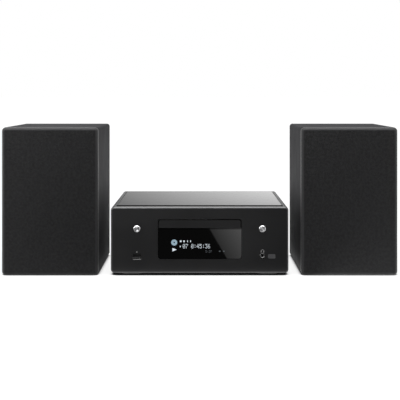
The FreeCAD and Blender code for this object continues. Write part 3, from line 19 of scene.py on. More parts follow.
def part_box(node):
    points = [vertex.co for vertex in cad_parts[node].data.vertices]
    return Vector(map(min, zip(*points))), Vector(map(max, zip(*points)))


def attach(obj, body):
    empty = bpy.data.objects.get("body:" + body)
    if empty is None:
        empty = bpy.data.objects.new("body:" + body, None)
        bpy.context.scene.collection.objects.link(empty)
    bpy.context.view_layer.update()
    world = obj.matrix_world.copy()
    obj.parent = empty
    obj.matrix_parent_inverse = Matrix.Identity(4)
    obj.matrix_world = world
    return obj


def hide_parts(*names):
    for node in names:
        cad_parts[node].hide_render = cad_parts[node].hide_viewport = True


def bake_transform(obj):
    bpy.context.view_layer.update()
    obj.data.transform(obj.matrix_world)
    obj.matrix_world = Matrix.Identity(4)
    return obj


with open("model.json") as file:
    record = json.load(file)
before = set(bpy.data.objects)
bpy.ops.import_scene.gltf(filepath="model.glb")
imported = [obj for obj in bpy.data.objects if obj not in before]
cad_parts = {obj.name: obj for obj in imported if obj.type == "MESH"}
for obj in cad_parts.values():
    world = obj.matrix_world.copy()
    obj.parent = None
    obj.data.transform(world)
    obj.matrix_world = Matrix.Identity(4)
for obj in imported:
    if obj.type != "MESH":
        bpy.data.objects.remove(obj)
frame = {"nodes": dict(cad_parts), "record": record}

MM = 0.001
SIDES = ("left", "right")
scene = bpy.context.scene
solids = frame["nodes"]
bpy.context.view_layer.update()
mounts = {mount["name"]: mount for mount in frame["record"]["mounts"]}

# %% [markdown]
# ## The camera
#
# Upright edges stay upright in the photograph, although the camera stands above the
# set and shows its top. A camera that looks down would make those edges lean, so this
# one looks level and its lens is shifted down, as for a photograph of a building. The
# distance sets how much smaller the rear edges look than the front ones.

# %% Camera
# Rows and columns are pixels of the square photograph, counted from its upper left.
PICTURE_SIDE = 400
SHELF_ROW = 275.5
HORIZON_ROW = 94.0
MIDDLE_COLUMN = 199.65
ROW_HEIGHT = 1.574 * MM
VIEWING_DISTANCE = 1800 * MM

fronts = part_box("grille_cloth_left")[0].y
lens = bpy.data.cameras.new("camera")
lens.lens = lens.sensor_width * VIEWING_DISTANCE / (PICTURE_SIDE * ROW_HEIGHT)
lens.shift_x = (PICTURE_SIDE / 2 - MIDDLE_COLUMN) / PICTURE_SIDE
lens.shift_y = (HORIZON_ROW - PICTURE_SIDE / 2) / PICTURE_SIDE
camera = bpy.data.objects.new("camera", lens)
camera.location = (0, fronts - VIEWING_DISTANCE, (SHELF_ROW - HORIZON_ROW) * ROW_HEIGHT)
camera.rotation_euler = (math.pi / 2, 0, 0)
scene.collection.objects.link(camera)
scene.camera = camera
scene.view_settings.view_transform = "Standard"
print("lens", round(lens.lens, 1), "mm, camera height", round(camera.location.z / MM))

# %% [markdown]
# ## Colours and nodes
#
# A hex colour is written as a screen shows it, while a shader counts light, so one
# function turns the first into the second. Another adds a shader node: each setting is
# a value for a socket, a socket to link from, or one of the node's own options. It
# keeps every material below down to the lines that say what the surface is.

# %% Colour and node helpers


def hex_colour(text):
    """A colour such as #1b1c1e as linear light."""
    parts = [int(text[start:start + 2], 16) / 255 for start in (1, 3, 5)]
    return (*(p / 12.92 if p <= 0.04045 else ((p + 0.055) / 1.055) ** 2.4 for p in parts), 1.0)


def add_node(tree, kind, settings):
    """Adds a node. A setting is a socket's value, a socket to link from, or an option."""
    node = tree.nodes.new(kind)
    for name, value in settings.items():
        if isinstance(name, int) or name in node.inputs:
            if isinstance(value, bpy.types.NodeSocket):
                tree.links.new(value, node.inputs[name])
            else:
                node.inputs[name].default_value = value
        else:
            setattr(node, name, value)
    return node


def start_material(name, finish):
    """A material with constant settings on its shader, and the piece's coordinates."""
    material = bpy.data.materials.new(name)
    material.use_nodes = True
    tree = material.node_tree
    shader = tree.nodes["Principled BSDF"]
    for socket, value in finish.items():
        shader.inputs[socket].default_value = value
    place = add_node(tree, "ShaderNodeTexCoord", {})
    return tree, shader, place


def set_ramp(ramp, *stops):
    """Gives a colour ramp its stops, each a place from 0 to 1 and a hex colour."""
    elements = ramp.color_ramp.elements
    while len(elements) < len(stops):
        elements.new(1.0)
    for element, (position, colour) in zip(elements, stops):
        element.position = position
        element.color = hex_colour(colour)
    return ramp.outputs["Color"]


# %% [markdown]
# ## Plain studio
#
# The photograph has a white ground without a visible horizon. The floor shows as white
# to the camera and still takes a little of the set's shadow, because a share of it is
# an ordinary matt floor. Close under a piece, where hardly any light gets in, all of it
# is matt, and its colour is darkened there as well, a painted contact shade, so the
# narrow gap between the feet is as dark as it is in a real room. What
# gloss reflects is set apart from what the camera sees: pale behind and above the set,
# dim on the camera's side, as in a studio whose lamps are above and behind.

# %% Floor
FLOOR_HALF = 80.0  # so large that its edge is never seen
SHADOW_SHARE = 0.22  # how much of the open floor is matt
GLOW = 1.14  # what the rest of it shows the camera
CONTACT_REACH = 14 * MM
ALL_MATT, MOST_OPEN = 0.36, 0.66  # how open a spot is where it is all matt, and like open floor
# PAINTED_CONTACT_SHADE is painted shade: the matt colour turns this dark where the floor is closed in.
PAINTED_CONTACT_SHADE, PAPER_TONE, BOUNCE_TONE = "#2c2c2c", "#f2f2f2", "#707070"

# What gloss sees of the floor: its tones from front to back, and its strength in front
# of the set, behind it and to either side.
TONED_DEPTH = 0.4
MIRRORED_TONES = ((0.08, "#404040"), (0.255, "#606060"), (0.285, "#ffffff"))
NEAR_FLOOR, FAR_FLOOR = 1.15, 3.6
NEAR_END, FAR_START = -0.1, 0.6
LEFT_SIDE, RIGHT_SIDE = 1.3, 2.6
SIDE_EDGE, SIDE_TURN = 0.05, 0.1


def light_path_mix(tree, seen, otherwise, rays):
    """One shader for the named kinds of ray and another for the rest."""
    path = add_node(tree, "ShaderNodeLightPath", {})
    kind = path.outputs[rays[0]]
    for ray in rays[1:]:
        kind = add_node(tree, "ShaderNodeMath", {"operation": "MAXIMUM", 0: kind, 1: path.outputs[ray]})
        kind = kind.outputs["Value"]
    return add_node(tree, "ShaderNodeMixShader", {"Fac": kind, 1: otherwise, 2: seen}).outputs["Shader"]


def floor_paper():
    """White background paper, with a painted shade close under the pieces."""
    material = bpy.data.materials.new("background_paper")
    material.use_nodes = True
    tree = material.node_tree
    tree.nodes.clear()
    place = add_node(tree, "ShaderNodeTexCoord", {})
    apart = add_node(tree, "ShaderNodeSeparateXYZ", {"Vector": place.outputs["Object"]})
    depth = add_node(tree, "ShaderNodeMapRange", {
        "Value": apart.outputs["Y"], "From Min": -TONED_DEPTH, "From Max": TONED_DEPTH,
    })
    tones = add_node(tree, "ShaderNodeValToRGB", {"Fac": depth.outputs["Result"]})
    reflected = set_ramp(tones, *MIRRORED_TONES)
    nearness = add_node(tree, "ShaderNodeMapRange", {
        "Value": apart.outputs["Y"], "From Min": NEAR_END, "From Max": FAR_START,
        "To Min": NEAR_FLOOR, "To Max": FAR_FLOOR,
    })
    lengthwise = add_node(tree, "ShaderNodeMath", {
        "operation": "MULTIPLY", 0: reflected, 1: nearness.outputs["Result"],
    })
    outward = add_node(tree, "ShaderNodeMath", {"operation": "ABSOLUTE", 0: apart.outputs["X"]})
    slant = add_node(tree, "ShaderNodeMath", {
        "operation": "ADD", 0: outward.outputs["Value"], 1: apart.outputs["Y"],
    })
    beside = add_node(tree, "ShaderNodeMapRange", {
        "Value": slant.outputs["Value"], "From Min": 0.0, "From Max": SIDE_EDGE,
    })
    side_strength = add_node(tree, "ShaderNodeMapRange", {
        "Value": apart.outputs["X"], "From Min": -SIDE_TURN, "From Max": SIDE_TURN,
        "To Min": LEFT_SIDE, "To Max": RIGHT_SIDE,
    })
    sideways = add_node(tree, "ShaderNodeMath", {
        "operation": "MULTIPLY", 0: beside.outputs["Result"], 1: side_strength.outputs["Result"],
    })
    shine = add_node(tree, "ShaderNodeMath", {
        "operation": "MAXIMUM", 0: lengthwise.outputs["Value"], 1: sideways.outputs["Value"],
    })
    open_sky = add_node(tree, "ShaderNodeAmbientOcclusion", {"Distance": CONTACT_REACH})
    # Painted shade: the matt colour goes from paper white down to a dark tone under the pieces.
    shade_to_paper = add_node(tree, "ShaderNodeValToRGB", {"Fac": open_sky.outputs["AO"]})
    paper = set_ramp(shade_to_paper, (ALL_MATT, PAINTED_CONTACT_SHADE), (MOST_OPEN, PAPER_TONE))
    matt = add_node(tree, "ShaderNodeBsdfDiffuse", {"Color": paper}).outputs["BSDF"]
    bounce = add_node(tree, "ShaderNodeBsdfDiffuse", {"Color": hex_colour(BOUNCE_TONE)}).outputs["BSDF"]
    glow = add_node(tree, "ShaderNodeEmission", {
        "Color": hex_colour("#ffffff"), "Strength": GLOW,
    }).outputs["Emission"]
    share = add_node(tree, "ShaderNodeMapRange", {
        "Value": open_sky.outputs["AO"], "From Min": ALL_MATT, "From Max": MOST_OPEN,
        "To Min": 1.0, "To Max": SHADOW_SHARE,
    }).outputs["Result"]
    mirrored = add_node(tree, "ShaderNodeEmission", {
        "Color": hex_colour("#ffffff"), "Strength": shine.outputs["Value"],
    }).outputs["Emission"]
    seen = add_node(tree, "ShaderNodeMixShader", {"Fac": share, 1: glow, 2: matt}).outputs["Shader"]
    rest = light_path_mix(tree, mirrored, bounce, ["Is Glossy Ray", "Is Transmission Ray"])
    whole = light_path_mix(tree, seen, rest, ["Is Camera Ray"])
    add_node(tree, "ShaderNodeOutputMaterial", {"Surface": whole})
    return material


ground = bmesh.new()
bmesh.ops.create_grid(ground, x_segments=1, y_segments=1, size=FLOOR_HALF)
floor_mesh = bpy.data.meshes.new("floor")
ground.to_mesh(floor_mesh)
ground.free()
floor_mesh.materials.append(floor_paper())
floor = bpy.data.objects.new("floor", floor_mesh)
scene.collection.objects.link(floor)

# %% [markdown]
# What surrounds the set is a room of soft light. A piece of it is described by where a
# direction points: left or right, to or from the camera, up or down. The camera sees
# plain white. Gloss sees a backdrop that is brighter on the left, a bright ceiling and a
# band at each side. Matt surfaces get a light that grows from front to back, as if most
# windows were behind the set.

# %% Surroundings
FRONT_AMBIENT, BACK_AMBIENT = 0.36, 1.15
CEILING = 5.0
# Each row: a name, the direction's part that it follows, where on it the change starts
# and ends, and the strengths there.
GRADES = (
    ("backdrop", "Y", -0.3, 0.25, 0.12, 1.0),
    ("backdrop_across", "X", -0.25, 0.15, 1.4, 0.65),
    ("ceiling", "Z", 0.45, 0.85, 0.0, CEILING),
    ("side_band", "level", 0.2, 0.45, 1.0, 0.0),
    ("left", "X", -0.6, -0.85, 0.0, LEFT_SIDE),
    ("right", "X", 0.6, 0.85, 0.0, RIGHT_SIDE),
    ("ambient", "Y", -1.0, 1.0, FRONT_AMBIENT, BACK_AMBIENT),
)


def studio_surroundings():
    """White to the camera, a soft studio to gloss, and light mostly from behind for the rest."""
    world = bpy.data.worlds.new("studio")
    world.use_nodes = True
    tree = world.node_tree
    tree.nodes.clear()
    direction = add_node(tree, "ShaderNodeTexCoord", {}).outputs["Generated"]
    apart = add_node(tree, "ShaderNodeSeparateXYZ", {"Vector": direction})
    level = add_node(tree, "ShaderNodeMath", {"operation": "ABSOLUTE", 0: apart.outputs["Z"]})
    parts = {axis: apart.outputs[axis] for axis in "XYZ"}
    parts["level"] = level.outputs["Value"]
    grades = {}
    for name, part, start, end, first, last in GRADES:
        grades[name] = add_node(tree, "ShaderNodeMapRange", {
            "Value": parts[part], "From Min": start, "From Max": end, "To Min": first, "To Max": last,
        }).outputs["Result"]
    backdrop = add_node(tree, "ShaderNodeMath", {
        "operation": "MULTIPLY", 0: grades["backdrop"], 1: grades["backdrop_across"],
    })
    shine = add_node(tree, "ShaderNodeMath", {
        "operation": "MAXIMUM", 0: backdrop.outputs["Value"], 1: grades["ceiling"],
    })
    for side in SIDES:
        window = add_node(tree, "ShaderNodeMath", {
            "operation": "MULTIPLY", 0: grades[side], 1: grades["side_band"],
        })
        shine = add_node(tree, "ShaderNodeMath", {
            "operation": "MAXIMUM", 0: shine.outputs["Value"], 1: window.outputs["Value"],
        })
    rooms = []
    for strength in (shine.outputs["Value"], grades["ambient"], 1.0):
        rooms.append(add_node(tree, "ShaderNodeBackground", {
            "Color": hex_colour("#ffffff"), "Strength": strength,
        }).outputs["Background"])
    mirrored, ambient, white = rooms
    rest = light_path_mix(tree, mirrored, ambient, ["Is Glossy Ray", "Is Transmission Ray"])
    whole = light_path_mix(tree, white, rest, ["Is Camera Ray"])
    add_node(tree, "ShaderNodeOutputWorld", {"Surface": whole})
    scene.world = world


studio_surroundings()
print(len(GRADES), "grades of light round the set")

# %% [markdown]
# The lamps are large and close, so that shadows are soft: one box over the set and a
# little in front, and one upright strip on each side, the left one much the stronger.
# Cards that only gloss can see shape the reflections, and a photographer would prop the
# same cards round a glossy black product: a pale graded card behind gives the top plate
# its sweep from grey to bright, a card at the upper left in front gives the turned keys
# their slanting bright lobes, and a white strip on the floor in front makes the slanting
# patch of light on the display window.

# %% Lamps
SET_MIDDLE = (0, 0, 0.1)


def soft_box(name, middle, aim, width, height, power):
    """Rectangular lamp that faces a point."""
    lamp = bpy.data.lights.new(name, "AREA")
    lamp.shape = "RECTANGLE"
    lamp.size, lamp.size_y, lamp.energy = width, height, power
    box = bpy.data.objects.new(name, lamp)
    box.location = middle
    box.rotation_euler = (Vector(aim) - Vector(middle)).to_track_quat("-Z", "Y").to_euler()
    scene.collection.objects.link(box)


soft_box("overhead_box", (0.1, -0.35, 1.35), (0, -0.05, 0.1), 1.3, 0.9, power=13)
soft_box("left_strip", (-1.35, -0.5, 0.55), SET_MIDDLE, 0.35, 0.9, power=10)
soft_box("right_strip", (1.35, -0.35, 0.6), SET_MIDDLE, 0.4, 1.0, power=1.4)
print(len(bpy.data.lights), "lamps")

# %% Cards


def card(name, corners, glow):
    """Flat card that only gloss can see. glow makes its emission strength or is a number."""
    shape = bmesh.new()
    shape.faces.new([shape.verts.new(corner) for corner in corners])
    mesh = bpy.data.meshes.new(name)
    shape.to_mesh(mesh)
    shape.free()
    material = bpy.data.materials.new(name)
    material.use_nodes = True
    tree = material.node_tree
    tree.nodes.clear()
    strength = glow(tree) if callable(glow) else glow
    shine = add_node(tree, "ShaderNodeEmission", {"Strength": strength})
    add_node(tree, "ShaderNodeOutputMaterial", {"Surface": shine.outputs["Emission"]})
    mesh.materials.append(material)
    board = bpy.data.objects.new(name, mesh)
    board.visible_camera = board.visible_diffuse = board.visible_shadow = False
    scene.collection.objects.link(board)


# %% Card behind
CARD_BACK = 0.9
CARD_HALF, CARD_FOOT, CARD_TOP = 0.3, 0.1, 0.4


def graded_across(tree):
    """Dim on the left, bright on the right, and brightest at its foot."""
    place = add_node(tree, "ShaderNodeTexCoord", {}).outputs["Object"]
    apart = add_node(tree, "ShaderNodeSeparateXYZ", {"Vector": place})
    across = add_node(tree, "ShaderNodeMapRange", {
        "Value": apart.outputs["X"], "From Min": -0.2, "From Max": 0.2, "To Min": 0.36, "To Max": 1.0,
    })
    upward = add_node(tree, "ShaderNodeMapRange", {
        "Value": apart.outputs["Z"], "From Min": 0.17, "From Max": 0.225, "To Min": 1.2, "To Max": 0.62,
    })
    return add_node(tree, "ShaderNodeMath", {
        "operation": "MULTIPLY", 0: across.outputs["Result"], 1: upward.outputs["Result"],
    }).outputs["Value"]


card("graded_card", [
    (-CARD_HALF, CARD_BACK, CARD_FOOT), (CARD_HALF, CARD_BACK, CARD_FOOT),
    (CARD_HALF, CARD_BACK, CARD_TOP), (-CARD_HALF, CARD_BACK, CARD_TOP),
], graded_across)

# %% Card for the keys
KEY_CARD = Vector((-0.34, -1.27, 0.47))
KEY_CARD_HALF, KEY_CARD_TURN = 0.15, 0.05
KEY_CARD_STRENGTH = 14.0
card("key_card", [
    KEY_CARD + Vector((way * KEY_CARD_HALF, -way * KEY_CARD_TURN, rise * KEY_CARD_HALF))
    for way, rise in ((-1, -1), (1, -1), (1, 1), (-1, 1))
], KEY_CARD_STRENGTH)

# %% [markdown]
# The patch of light on the window has four corners, given below as they lie on the
# window. A mirror shows what lies on the line from the eye to the glass, turned back at
# the glass, so each corner is followed from the camera to the window and on to the floor.
# The card on the floor joins the points found there.

# %% Card for the window
WINDOW_PATCH = ((15, 74), (70, 74), (70, 24), (44, 24))
PATCH_DIM, PATCH_BRIGHT = 0.6, 2.0


def seen_in_window(across, up):
    """The point of the floor that the camera sees mirrored in the display window there."""
    spot = Vector((across * MM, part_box("display_window")[0].y, up * MM))
    ray = spot - camera.location
    return spot + Vector((ray.x, -ray.y, ray.z)) * (spot.z / -ray.z)


patch = [seen_in_window(*spot) for spot in WINDOW_PATCH]


def graded_patch(tree):
    """Dim along the slanting edge, brighter away from it."""
    slant = (patch[3] - patch[0]).normalized()
    away = Vector((-slant.y, slant.x, 0))
    away *= math.copysign(1, away.dot(patch[1] - patch[0]))
    place = add_node(tree, "ShaderNodeTexCoord", {}).outputs["Object"]
    reach = add_node(tree, "ShaderNodeVectorMath", {"operation": "DOT_PRODUCT", 0: place, 1: away})
    return add_node(tree, "ShaderNodeMapRange", {
        "Value": reach.outputs["Value"], "From Min": away.dot(patch[0]),
        "From Max": away.dot(patch[1]), "To Min": PATCH_DIM, "To Max": PATCH_BRIGHT,
    }).outputs["Result"]


card("window_strip", [point + Vector((0, 0, MM)) for point in patch], graded_patch)
print("window strip reaches", [round(patch[0].y / MM), round(patch[2].y / MM)])

# %% [markdown]
# ## Finishes
#
# Every finish starts from what the real surface is. A moulded, painted or cast surface
# is never perfectly even, so most of them share one recipe: a fine grain, made by
# noise at the size of the real texture, that varies the colour between two close tones
# and gives a slight relief, and a much larger noise that varies the gloss, as handling
# and dust do.

# %% Grained surfaces


def grained(name, tones, grain, relief, roughness, finish, stretch=(1, 1, 1)):
    """A surface with grain of a size and relief depth in millimetres."""
    tree, shader, place = start_material(name, finish)
    lay = add_node(tree, "ShaderNodeMapping", {"Scale": stretch, "Vector": place.outputs["Object"]})
    fine = add_node(tree, "ShaderNodeTexNoise", {
        "Scale": 1 / (grain * MM), "Detail": 3.0, "Vector": lay.outputs["Vector"],
    })
    ramp = add_node(tree, "ShaderNodeValToRGB", {"Fac": fine.outputs["Fac"]})
    tree.links.new(set_ramp(ramp, (0.35, tones[0]), (0.65, tones[1])), shader.inputs["Base Color"])
    broad = add_node(tree, "ShaderNodeTexNoise", {
        "Scale": 1 / (35 * MM), "Detail": 2.0, "Vector": place.outputs["Object"],
    })
    gloss = add_node(tree, "ShaderNodeMapRange", {
        "Value": broad.outputs["Fac"], "To Min": roughness * 0.88, "To Max": roughness * 1.12,
    })
    tree.links.new(gloss.outputs["Result"], shader.inputs["Roughness"])
    bump = add_node(tree, "ShaderNodeBump", {
        "Height": fine.outputs["Fac"], "Distance": relief * MM, "Strength": 1.0,
    })
    tree.links.new(bump.outputs["Normal"], shader.inputs["Normal"])
    return bpy.data.materials[name]


# %% [markdown]
# Rounded edges of the lacquer and of the cloth get a painted highlight, which stands for
# the light that such an edge catches. A paler tone is mixed in between the front and the
# sides: a mask on the direction that the surface faces starts where it leaves the front,
# and ends before it has turned fully to the side.

# %% Painted rim highlights
TURN_STARTS, TURN_SHOWS = -0.997, -0.93
SIDE_NEARS, SIDE_REACHED = -0.4, -0.1


def paler_rim(material, pale):
    """Paints a highlight: a paler tone mixed in where a front turns over into its sides."""
    tree = material.node_tree
    shader = tree.nodes["Principled BSDF"]
    face_tone = shader.inputs["Base Color"].links[0].from_socket
    facing_room = add_node(tree, "ShaderNodeSeparateXYZ", {
        "Vector": add_node(tree, "ShaderNodeNewGeometry", {}).outputs["Normal"],
    })
    turned = add_node(tree, "ShaderNodeMapRange", {
        "Value": facing_room.outputs["Y"], "From Min": TURN_STARTS, "From Max": TURN_SHOWS,
    })
    kept = add_node(tree, "ShaderNodeMapRange", {
        "Value": facing_room.outputs["Y"], "From Min": SIDE_NEARS, "From Max": SIDE_REACHED,
        "To Min": 1.0, "To Max": 0.0,
    })
    share = add_node(tree, "ShaderNodeMath", {
        "operation": "MULTIPLY", 0: turned.outputs["Result"], 1: kept.outputs["Result"],
    })
    mixed = add_node(tree, "ShaderNodeMix", {
        "data_type": "RGBA", 0: share.outputs["Value"], 6: face_tone, 7: hex_colour(pale),
    })
    tree.links.new(mixed.outputs[2], shader.inputs["Base Color"])


# %% [markdown]
# The finishes below all come from that recipe. Each line gives the two tones, the size
# of the grain and the depth of its relief in millimetres, the roughness, and what else
# sets the material apart, such as how strongly it bends light.

# %% Receiver finishes
# ABS front, sprayed with satin black lacquer: fine orange peel, soft bright edges.
satin_lacquer = grained("satin_lacquer", ("#131314", "#171718"), 0.7, 0.004, 0.32, {"IOR": 1.5})
# The same lacquer on the large front panel, where it shows a shade paler.
front_lacquer = grained("front_lacquer", ("#171718", "#1b1b1c"), 0.7, 0.004, 0.32, {"IOR": 1.5})
# Its rounded edges get a painted highlight.
paler_rim(front_lacquer, "#38383a")
# Steel cover with a textured powder coat, whose grain is about half a millimetre.
powder_coat = grained("powder_coat", ("#101011", "#19191a"), 0.5, 0.02, 0.42, {"IOR": 1.5})
# Cast acrylic top plate, polished: nearly a mirror at a low angle.
gloss_acrylic = grained("gloss_acrylic", ("#070708", "#090909"), 3.0, 0.0006, 0.1, {"IOR": 1.49})
# Smoked acrylic display window, a shade glossier than the plate.
smoked_acrylic = grained("smoked_acrylic", ("#020202", "#030303"), 3.0, 0.0003, 0.03, {"IOR": 1.49})
# ABS straight from a spark-eroded mould: an even matt grain.
moulded_black = grained("moulded_black", ("#131314", "#1b1b1c"), 0.35, 0.012, 0.5, {"IOR": 1.5})
# Infrared-clear plastic of the sensor window: a greyer black that looks deep.
sensor_plastic = grained("sensor_plastic", ("#4c4c4e", "#58585a"), 1.5, 0.001, 0.3, {"IOR": 1.58})
# Acetal gears and turntable: slippery, faintly waxy, paler where it was cut.
acetal_grey = grained("acetal_grey", ("#8d8e90", "#9a9b9d"), 0.8, 0.004, 0.38, {"IOR": 1.48})
# Zinc-plated steel: a bright metal with small crystals that scatter the light.
zinc_plate = grained("zinc_plate", ("#a9abad", "#c6c8ca"), 0.6, 0.003, 0.33, {"Metallic": 1.0})
# Extruded aluminium: draw lines run along the fins.
drawn_aluminium = grained(
    "drawn_aluminium", ("#8f9193", "#b9bbbd"), 0.4, 0.004, 0.35, {"Metallic": 1.0}, (1, 1, 0.05)
)
# Gilt brass of the plug posts.
gilt_brass = grained("gilt_brass", ("#c09a4a", "#dbb868"), 0.5, 0.002, 0.22, {"Metallic": 1.0})
# Nickel plate on socket shells.
nickel_plate = grained("nickel_plate", ("#b5b3ae", "#cfcdc8"), 0.5, 0.001, 0.2, {"Metallic": 1.0})
# Glossy coloured plastic of caps and socket cores, with a trace of light inside it.
RED_TONES, WHITE_TONES = ("#9c1512", "#b21c17"), ("#d8d8d4", "#e6e6e2")
gloss_red = grained("gloss_red", RED_TONES, 1.2, 0.002, 0.25, {"IOR": 1.5, "Coat Weight": 0.3})
gloss_white = grained("gloss_white", WHITE_TONES, 1.2, 0.002, 0.3, {"IOR": 1.5})
gloss_black = grained("gloss_black", ("#0b0b0c", "#111112"), 1.2, 0.002, 0.25, {"IOR": 1.5})
# Rubber feet and surrounds: dull, with a little bloom that greys the skin.
black_rubber = grained("black_rubber", ("#121212", "#1d1d1d"), 0.8, 0.008, 0.62, {"IOR": 1.52})
# Foam rubber of lips and seals: cut cells swallow nearly all light.
soft_black = grained(
    "soft_black", ("#050505", "#0b0b0b"), 0.6, 0.02, 0.85, {"IOR": 1.4, "Specular IOR Level": 0.1}
)
# White printing ink on the rear panel.
print_ink = grained("print_ink", ("#a8a8a6", "#bababa"), 0.4, 0.001, 0.6, {"IOR": 1.5})

# %% Loudspeaker finishes
# Vinyl foil printed as black ash: pores run upwards, a few tenths of a millimetre wide.
ash_foil = grained(
    "ash_foil", ("#19191a", "#29292b"), 0.9, 0.03, 0.72, {"IOR": 1.4, "Specular IOR Level": 0.04},
    (1, 1, 0.035),
)
# Painted fibreboard of the baffle.
painted_board = grained("painted_board", ("#121213", "#181819"), 0.6, 0.01, 0.48, {"IOR": 1.5})
# Pressed pulp cone with a thin coat: fibres show as a felted grain.
coated_pulp = grained("coated_pulp", ("#151517", "#232326"), 1.1, 0.03, 0.5, {"IOR": 1.45})
# Doped silk dome.
doped_silk = grained("doped_silk", ("#131315", "#1e1e21"), 0.45, 0.01, 0.35, {"IOR": 1.45})
# Sintered ferrite of the magnets.
sintered_ferrite = grained("sintered_ferrite", ("#2b2b2d", "#3b3b3d"), 0.7, 0.02, 0.6, {"IOR": 1.9})
print(len(bpy.data.materials), "materials so far")

# %% [markdown]
# The two keys are turned aluminium: a cutting tool left rings about their middle. Rings
# spread light across them and hardly along them, so a lamp shows as two bright lobes, as
# on a disc. Gloss that is stretched round each key's own axis does that. Real rings are
# a tenth of a millimetre apart, too fine to draw here, so the drawn ones are 0.8 mm
# apart and only tint the metal and give it a trace of relief. The keys stand at equal
# distances from the middle of the panel, so one pattern on the distance serves both.

# %% Turned aluminium
ONE_WAVE = 0.314159  # the wave texture's scale for waves one metre long
RING_PITCH = 0.8 * MM


def turned_aluminium():
    """Gloss stretched round each key's axis, and rings about its middle."""
    tree, shader, place = start_material("turned_aluminium", {
        "Metallic": 1.0, "Roughness": 0.33, "Anisotropic": 0.9, "Anisotropic Rotation": 0.25,
    })
    rim_wise = add_node(tree, "ShaderNodeTangent", {"direction_type": "RADIAL", "axis": "Y"})
    tree.links.new(rim_wise.outputs["Tangent"], shader.inputs["Tangent"])
    apart = add_node(tree, "ShaderNodeSeparateXYZ", {"Vector": place.outputs["Object"]})
    either = add_node(tree, "ShaderNodeMath", {"operation": "ABSOLUTE", 0: apart.outputs["X"]})
    low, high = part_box("eject_button")
    across = add_node(tree, "ShaderNodeMath", {
        "operation": "SUBTRACT", 0: either.outputs["Value"], 1: (low.x + high.x) / 2,
    })
    up = add_node(tree, "ShaderNodeMath", {
        "operation": "SUBTRACT", 0: apart.outputs["Z"], 1: (low.z + high.z) / 2,
    })
    flat = add_node(tree, "ShaderNodeCombineXYZ", {
        "X": across.outputs["Value"], "Z": up.outputs["Value"],
    })
    rings = add_node(tree, "ShaderNodeTexWave", {
        "wave_type": "RINGS", "rings_direction": "SPHERICAL", "Scale": ONE_WAVE / RING_PITCH,
        "Vector": flat.outputs["Vector"],
    })
    ramp = add_node(tree, "ShaderNodeValToRGB", {"Fac": rings.outputs["Fac"]})
    tree.links.new(set_ramp(ramp, (0.0, "#bcbcbe"), (1.0, "#dededf")), shader.inputs["Base Color"])
    bump = add_node(tree, "ShaderNodeBump", {"Height": rings.outputs["Fac"], "Distance": 0.002 * MM})
    tree.links.new(bump.outputs["Normal"], shader.inputs["Normal"])
    return bpy.data.materials["turned_aluminium"]


turned_keys = turned_aluminium()

# %% [markdown]
# The grille cloth is a plain weave of polyester. Its threads are drawn 2 mm apart, which
# is the finest that the render can show; the real ones are nearer 0.4 mm. Two bands of
# waves along the cloth's own length and width make the warp and the weft, and each is
# raised where the other dips. A larger mottle stands for threads that differ in
# thickness. Fibres that stand out catch the light at a low angle, which a little sheen
# gives, and the rim gets the painted highlight described above.

# %% Cloth weave
THREAD_PITCH = 2.0 * MM
MOTTLE_SIZE = 4 * MM


def plain_weave():
    """Warp and weft from the cloth's own flat pattern, with sheen and slight mottling."""
    tree, shader, place = start_material("polyester_weave", {
        "IOR": 1.45, "Specular IOR Level": 0.2, "Sheen Weight": 0.04, "Sheen Roughness": 0.4,
    })
    flat = place.outputs["UV"]
    threads = []
    for direction in ("X", "Y"):
        wave = add_node(tree, "ShaderNodeTexWave", {
            "bands_direction": direction, "Scale": ONE_WAVE / THREAD_PITCH, "Vector": flat,
            "Distortion": 0.6, "Detail": 1.0,
        })
        threads.append(wave.outputs["Fac"])
    checks = add_node(tree, "ShaderNodeTexChecker", {"Scale": 1 / THREAD_PITCH, "Vector": flat})
    over = add_node(tree, "ShaderNodeMix", {
        "data_type": "FLOAT", 0: checks.outputs["Fac"], 2: threads[0], 3: threads[1],
    }).outputs[0]
    mottle = add_node(tree, "ShaderNodeTexNoise", {
        "Scale": 1 / MOTTLE_SIZE, "Detail": 4.0, "Roughness": 0.75, "Vector": place.outputs["Object"],
    })
    tone = add_node(tree, "ShaderNodeMath", {
        "operation": "MULTIPLY_ADD", 0: mottle.outputs["Fac"], 1: 2.4, 2: -0.95,
    })
    mixed = add_node(tree, "ShaderNodeMath", {
        "operation": "MULTIPLY_ADD", 0: over, 1: 0.5, 2: tone.outputs["Value"],
    })
    ramp = add_node(tree, "ShaderNodeValToRGB", {"Fac": mixed.outputs["Value"]})
    tree.links.new(set_ramp(ramp, (0.1, "#040405"), (0.9, "#222223")), shader.inputs["Base Color"])
    matt = add_node(tree, "ShaderNodeMapRange", {"Value": over, "To Min": 0.45, "To Max": 0.65})
    tree.links.new(matt.outputs["Result"], shader.inputs["Roughness"])
    nap = add_node(tree, "ShaderNodeMath", {
        "operation": "MULTIPLY_ADD", 0: mottle.outputs["Fac"], 1: 4.0, 2: over,
    })
    bump = add_node(tree, "ShaderNodeBump", {"Height": nap.outputs["Value"], "Distance": 0.2 * MM})
    tree.links.new(bump.outputs["Normal"], shader.inputs["Normal"])
    return bpy.data.materials["polyester_weave"]


polyester_weave = plain_weave()
# A painted highlight on the cloth's rim.
paler_rim(polyester_weave, "#323233")

# %% [markdown]
# A circuit board is glass-fibre laminate under green lacquer, with copper tracks that
# show as a paler green. Its parts stand on it in the same solid, so a step in height
# colours everything above the lacquer as black moulded cases.

# %% Circuit boards
TRACK_SPACING = 40 * MM
LAMINATE = 1.65 * MM  # board and lacquer together


